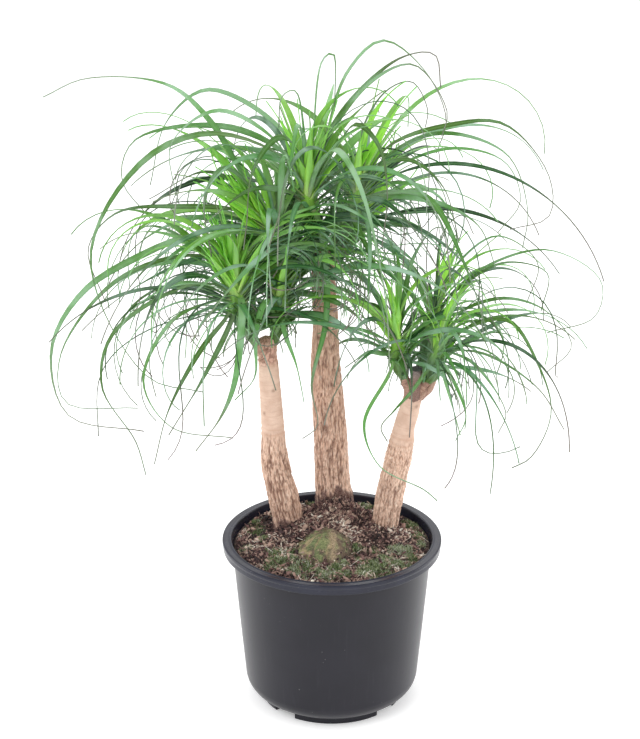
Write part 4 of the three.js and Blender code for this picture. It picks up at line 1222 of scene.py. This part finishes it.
# One head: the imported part's own leaves, each turned as it was there, and the filling ones
def makeHead(name, head, skin):
    node = "leaves_" + name
    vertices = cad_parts[node].data.vertices
    corners = np.empty(len(vertices) * 3, np.float32)
    vertices.foreach_get("co", corners)
    corners = corners.reshape(-1, 3) / mm
    nodeBox = corners.min(axis=0), corners.max(axis=0)
    draw = np.random.default_rng(head["seed"])
    groups = {"own": [], "fills": []}
    for leaf in tracedLeaves(head) + grownLeaves(head):
        for nudge in nudges:
            path, across = leaf["course"](head, leaf, nudge, bladeSizes["stations"])
            if np.linalg.norm(corners - path[-1], axis=1).min() < tipReach:
                groups["own"].append((leaf, path, across))
                break
    for leaf in fillLeaves(head):
        for attempt in range(fillRule["tries"]):
            path, across = grownCourse(head, leaf, fillRule["turn"] * attempt, bladeSizes["fillStations"])
            if hasRoom(head, leaf, path, nodeBox):
                groups["fills"].append((leaf, path, across))
                break
    points, quads, triangles, values, offset = [], [], [], {}, 0
    for key, (taper, turn, face, wider) in leafGroups.items():
        leaves, paths, acrosses = zip(*groups[key])
        count = len(leaves)
        widths = wider * head.get("slimmer", 1) * np.array([leaf["width"] for leaf in leaves])
        rolls, waves = draw.uniform(-turn, turn, count), draw.uniform(0.2, 0.8, count)
        tapers = np.array([leaf.get("taper") or draw.uniform(*taper) for leaf in leaves])
        rings = bladeRings(np.stack(paths), np.stack(acrosses), widths, rolls, draw.uniform(*face, count),
                           tapers, waves)
        over = np.clip(rings, wholeBox[0] + 0.2, wholeBox[1] - 0.2) - rings
        rings += eased(over.max(axis=2, keepdims=True)) - eased(-over.min(axis=2, keepdims=True))
        four, three = bladeFaces(*rings.shape[:3])
        points.append(rings.reshape(-1, 3))
        quads.append(four + offset)
        triangles.append(three + offset)
        offset += len(points[-1])
        for title, numbers in bladeValues(rings.shape[:3], leaves, draw).items():
            values.setdefault(title, []).append(numbers)
    makePiece("foliage_" + name, np.vstack(points), np.vstack(quads), np.vstack(triangles), skin, node,
              {title: np.concatenate(numbers) for title, numbers in values.items()})
    print("head", name, len(groups["own"]), "own leaves,", len(groups["fills"]), "filling")


# The stub under each head, ringed with old leaf scars, and the sheath of leaf bases that its leaves leave
def makeStub(name, head, bark, skin):
    c = coreSizes
    base, start, up, _, _ = headFrame(head)
    foot, half = (base + share * sheathShare(head) * (start - base) for share in (1, 0.5))
    stations = [(*place, thick) for place, thick in zip((start, foot, base, base + 8 * up), c["stub"])]
    path, radius, run, length, angle, girth = barGrid(stations, c["stubRows"], c["columns"])
    scars = np.sin(run / 0.62 + 3 * layeredNoise(girth / 8, head["seed"], 2))
    lift = 0.35 * scars + 1.1 * bumps(girth / 5, head["seed"] + 1, 3)
    pits = np.clip(-scars, 0, 1)
    makeTube("stub_" + name, ringsRound(path, (radius + lift) * domed(run, length, 4)), bark, "caudex_trunks",
             crack=0.30 + pits * 0.4, fissured=0.25, debris=ease(0.3, 0.9, lift + 0.4) * 0.7, ring=pits * 0.5,
             warmth=1, flushed=0.9)
    belly = [(c["bellyAt"], c["belly"]), (c["length"] * 0.6, c["belly"] * 0.72), (c["length"], c["tip"])]
    stations = [(*place, thick) for place, thick in zip((foot, half, base), c["arm"])]
    stations += [(*(base + up * along), thick) for along, thick in belly]
    path, radius, run, length, angle, _ = barGrid(stations, c["sheathRows"], c["columns"])
    folds = 0.12 * np.abs(np.cos(3.5 * angle + run / 7)) + 0.05 * np.cos(11 * angle - run / 4)
    ends = domed(run, length, 5) * domed(length - run, length, 9, 0.3)
    # The sheath's green follows its folds, darker in the grooves between leaf bases: painted shade
    makeTube("sheath_" + name, ringsRound(path, radius * (1 + folds) * ends), skin, "leaves_" + name,
             along=0.10 + 0.3 * run / length, across=np.sin(5 * angle), tone=3 * folds - 0.1,
             heart=0.10 + 0.4 * ease(0.5, 0.9, run / length))


# Stage

stageSizes = {"floor": 12.0, "glow": 0.26, "white": 0.88, "cameraAt": (-0.013, -2.0, 1.165), "pitch": 21.3,
              "lens": 98.6, "clipEnd": 100, "aim": (0, 0, 0.35)}

# Round lamps: [where, how wide, watts]
lamps = {
    "key": ((-1.5, -1.9, 2.6), 1.8, 34), "fill": ((1.9, -1.5, 1.9), 2.0, 14),
    "back": ((0.3, 2.2, 2.4), 2.2, 17), "leftSide": ((-2.4, 0.7, 0.9), 1.7, 20),
    "rightSide": ((2.4, 0.7, 0.9), 1.7, 20),
}


def paintFloor(start, place):
    return {"Base Color": place.noise(0.002, 1).mix((0.93, 0.93, 0.93), (0.95, 0.95, 0.95))}


# A pale floor, an even white room, round lamps turned to the aim, and the camera
def makeStage():
    s = stageSizes
    mesh = bpy.data.meshes.new("floor")
    corners = ((-1, -1), (1, -1), (1, 1), (-1, 1))
    mesh.from_pydata([(x * s["floor"], y * s["floor"], 0) for x, y in corners], [], [(0, 1, 2, 3)])
    mesh.materials.append(finish("paleFloor", "", paintFloor, {
        "Roughness": 0.9, "Emission Color": (1, 1, 1, 1), "Emission Strength": s["glow"]})[0])
    floor = addObject("floor", mesh)
    world = bpy.data.worlds.new("white room")
    bpy.context.scene.world = world
    world.use_nodes = True
    background = world.node_tree.nodes["Background"].inputs
    background["Color"].default_value, background["Strength"].default_value = (1, 1, 1, 1), s["white"]
    for name, (at, size, power) in lamps.items():
        light = bpy.data.lights.new(name, "AREA")
        light.shape, light.size, light.energy = "DISK", size, power
        holder = addObject(name, light)
        x, y, z = np.array(s["aim"]) - at
        holder.location = at
        holder.rotation_euler = (math.atan2(math.hypot(x, y), -z), 0, math.atan2(y, x) - math.pi / 2)
    camera = addObject("camera", bpy.data.cameras.new("camera"))
    camera.location = s["cameraAt"]
    camera.rotation_euler = (math.radians(90 - s["pitch"]), 0, 0)
    camera.data.lens, camera.data.clip_end = s["lens"], s["clipEnd"]
    bpy.context.scene.camera = camera
    bpy.context.scene.view_settings.view_transform = "Standard"


makeStage()
print("stage set")
makePot(finish("darkPlastic", "pot_plastic", paintPot, {"IOR": 1.40}))
print("pot turned")
makeSoil(finish("peat", "peat", paintPeat))
makeBits(finish("looseBits", "peat", paintBits))
makeMoss(finish("moss", "peat", paintMoss))
print("soil filled")
barkSkin = finish("bark", "bark", paintBark)
for trunkName, trunkSizes in trunks.items():
    makeTrunk(trunkName, trunkSizes, barkSkin)
for snagName, snag in snags.items():
    makeSnag(snagName, snag, barkSkin)
makeCollar(barkSkin)
makeFoot(finish("mossySkin", "bark", paintFoot))
print("wood grown")
leafSkin = finish("leafSkin", "leaf", paintLeaf, {
    "Specular IOR Level": 0.25, "Subsurface Weight": 0.15, "Subsurface Radius": (0.5, 1.0, 0.25),
    "Subsurface Scale": 1.2 * mm})
for headName, plantHead in heads.items():
    makeStub(headName, plantHead, barkSkin, leafSkin)
    makeHead(headName, plantHead, leafSkin)

bpy.context.view_layer.update()
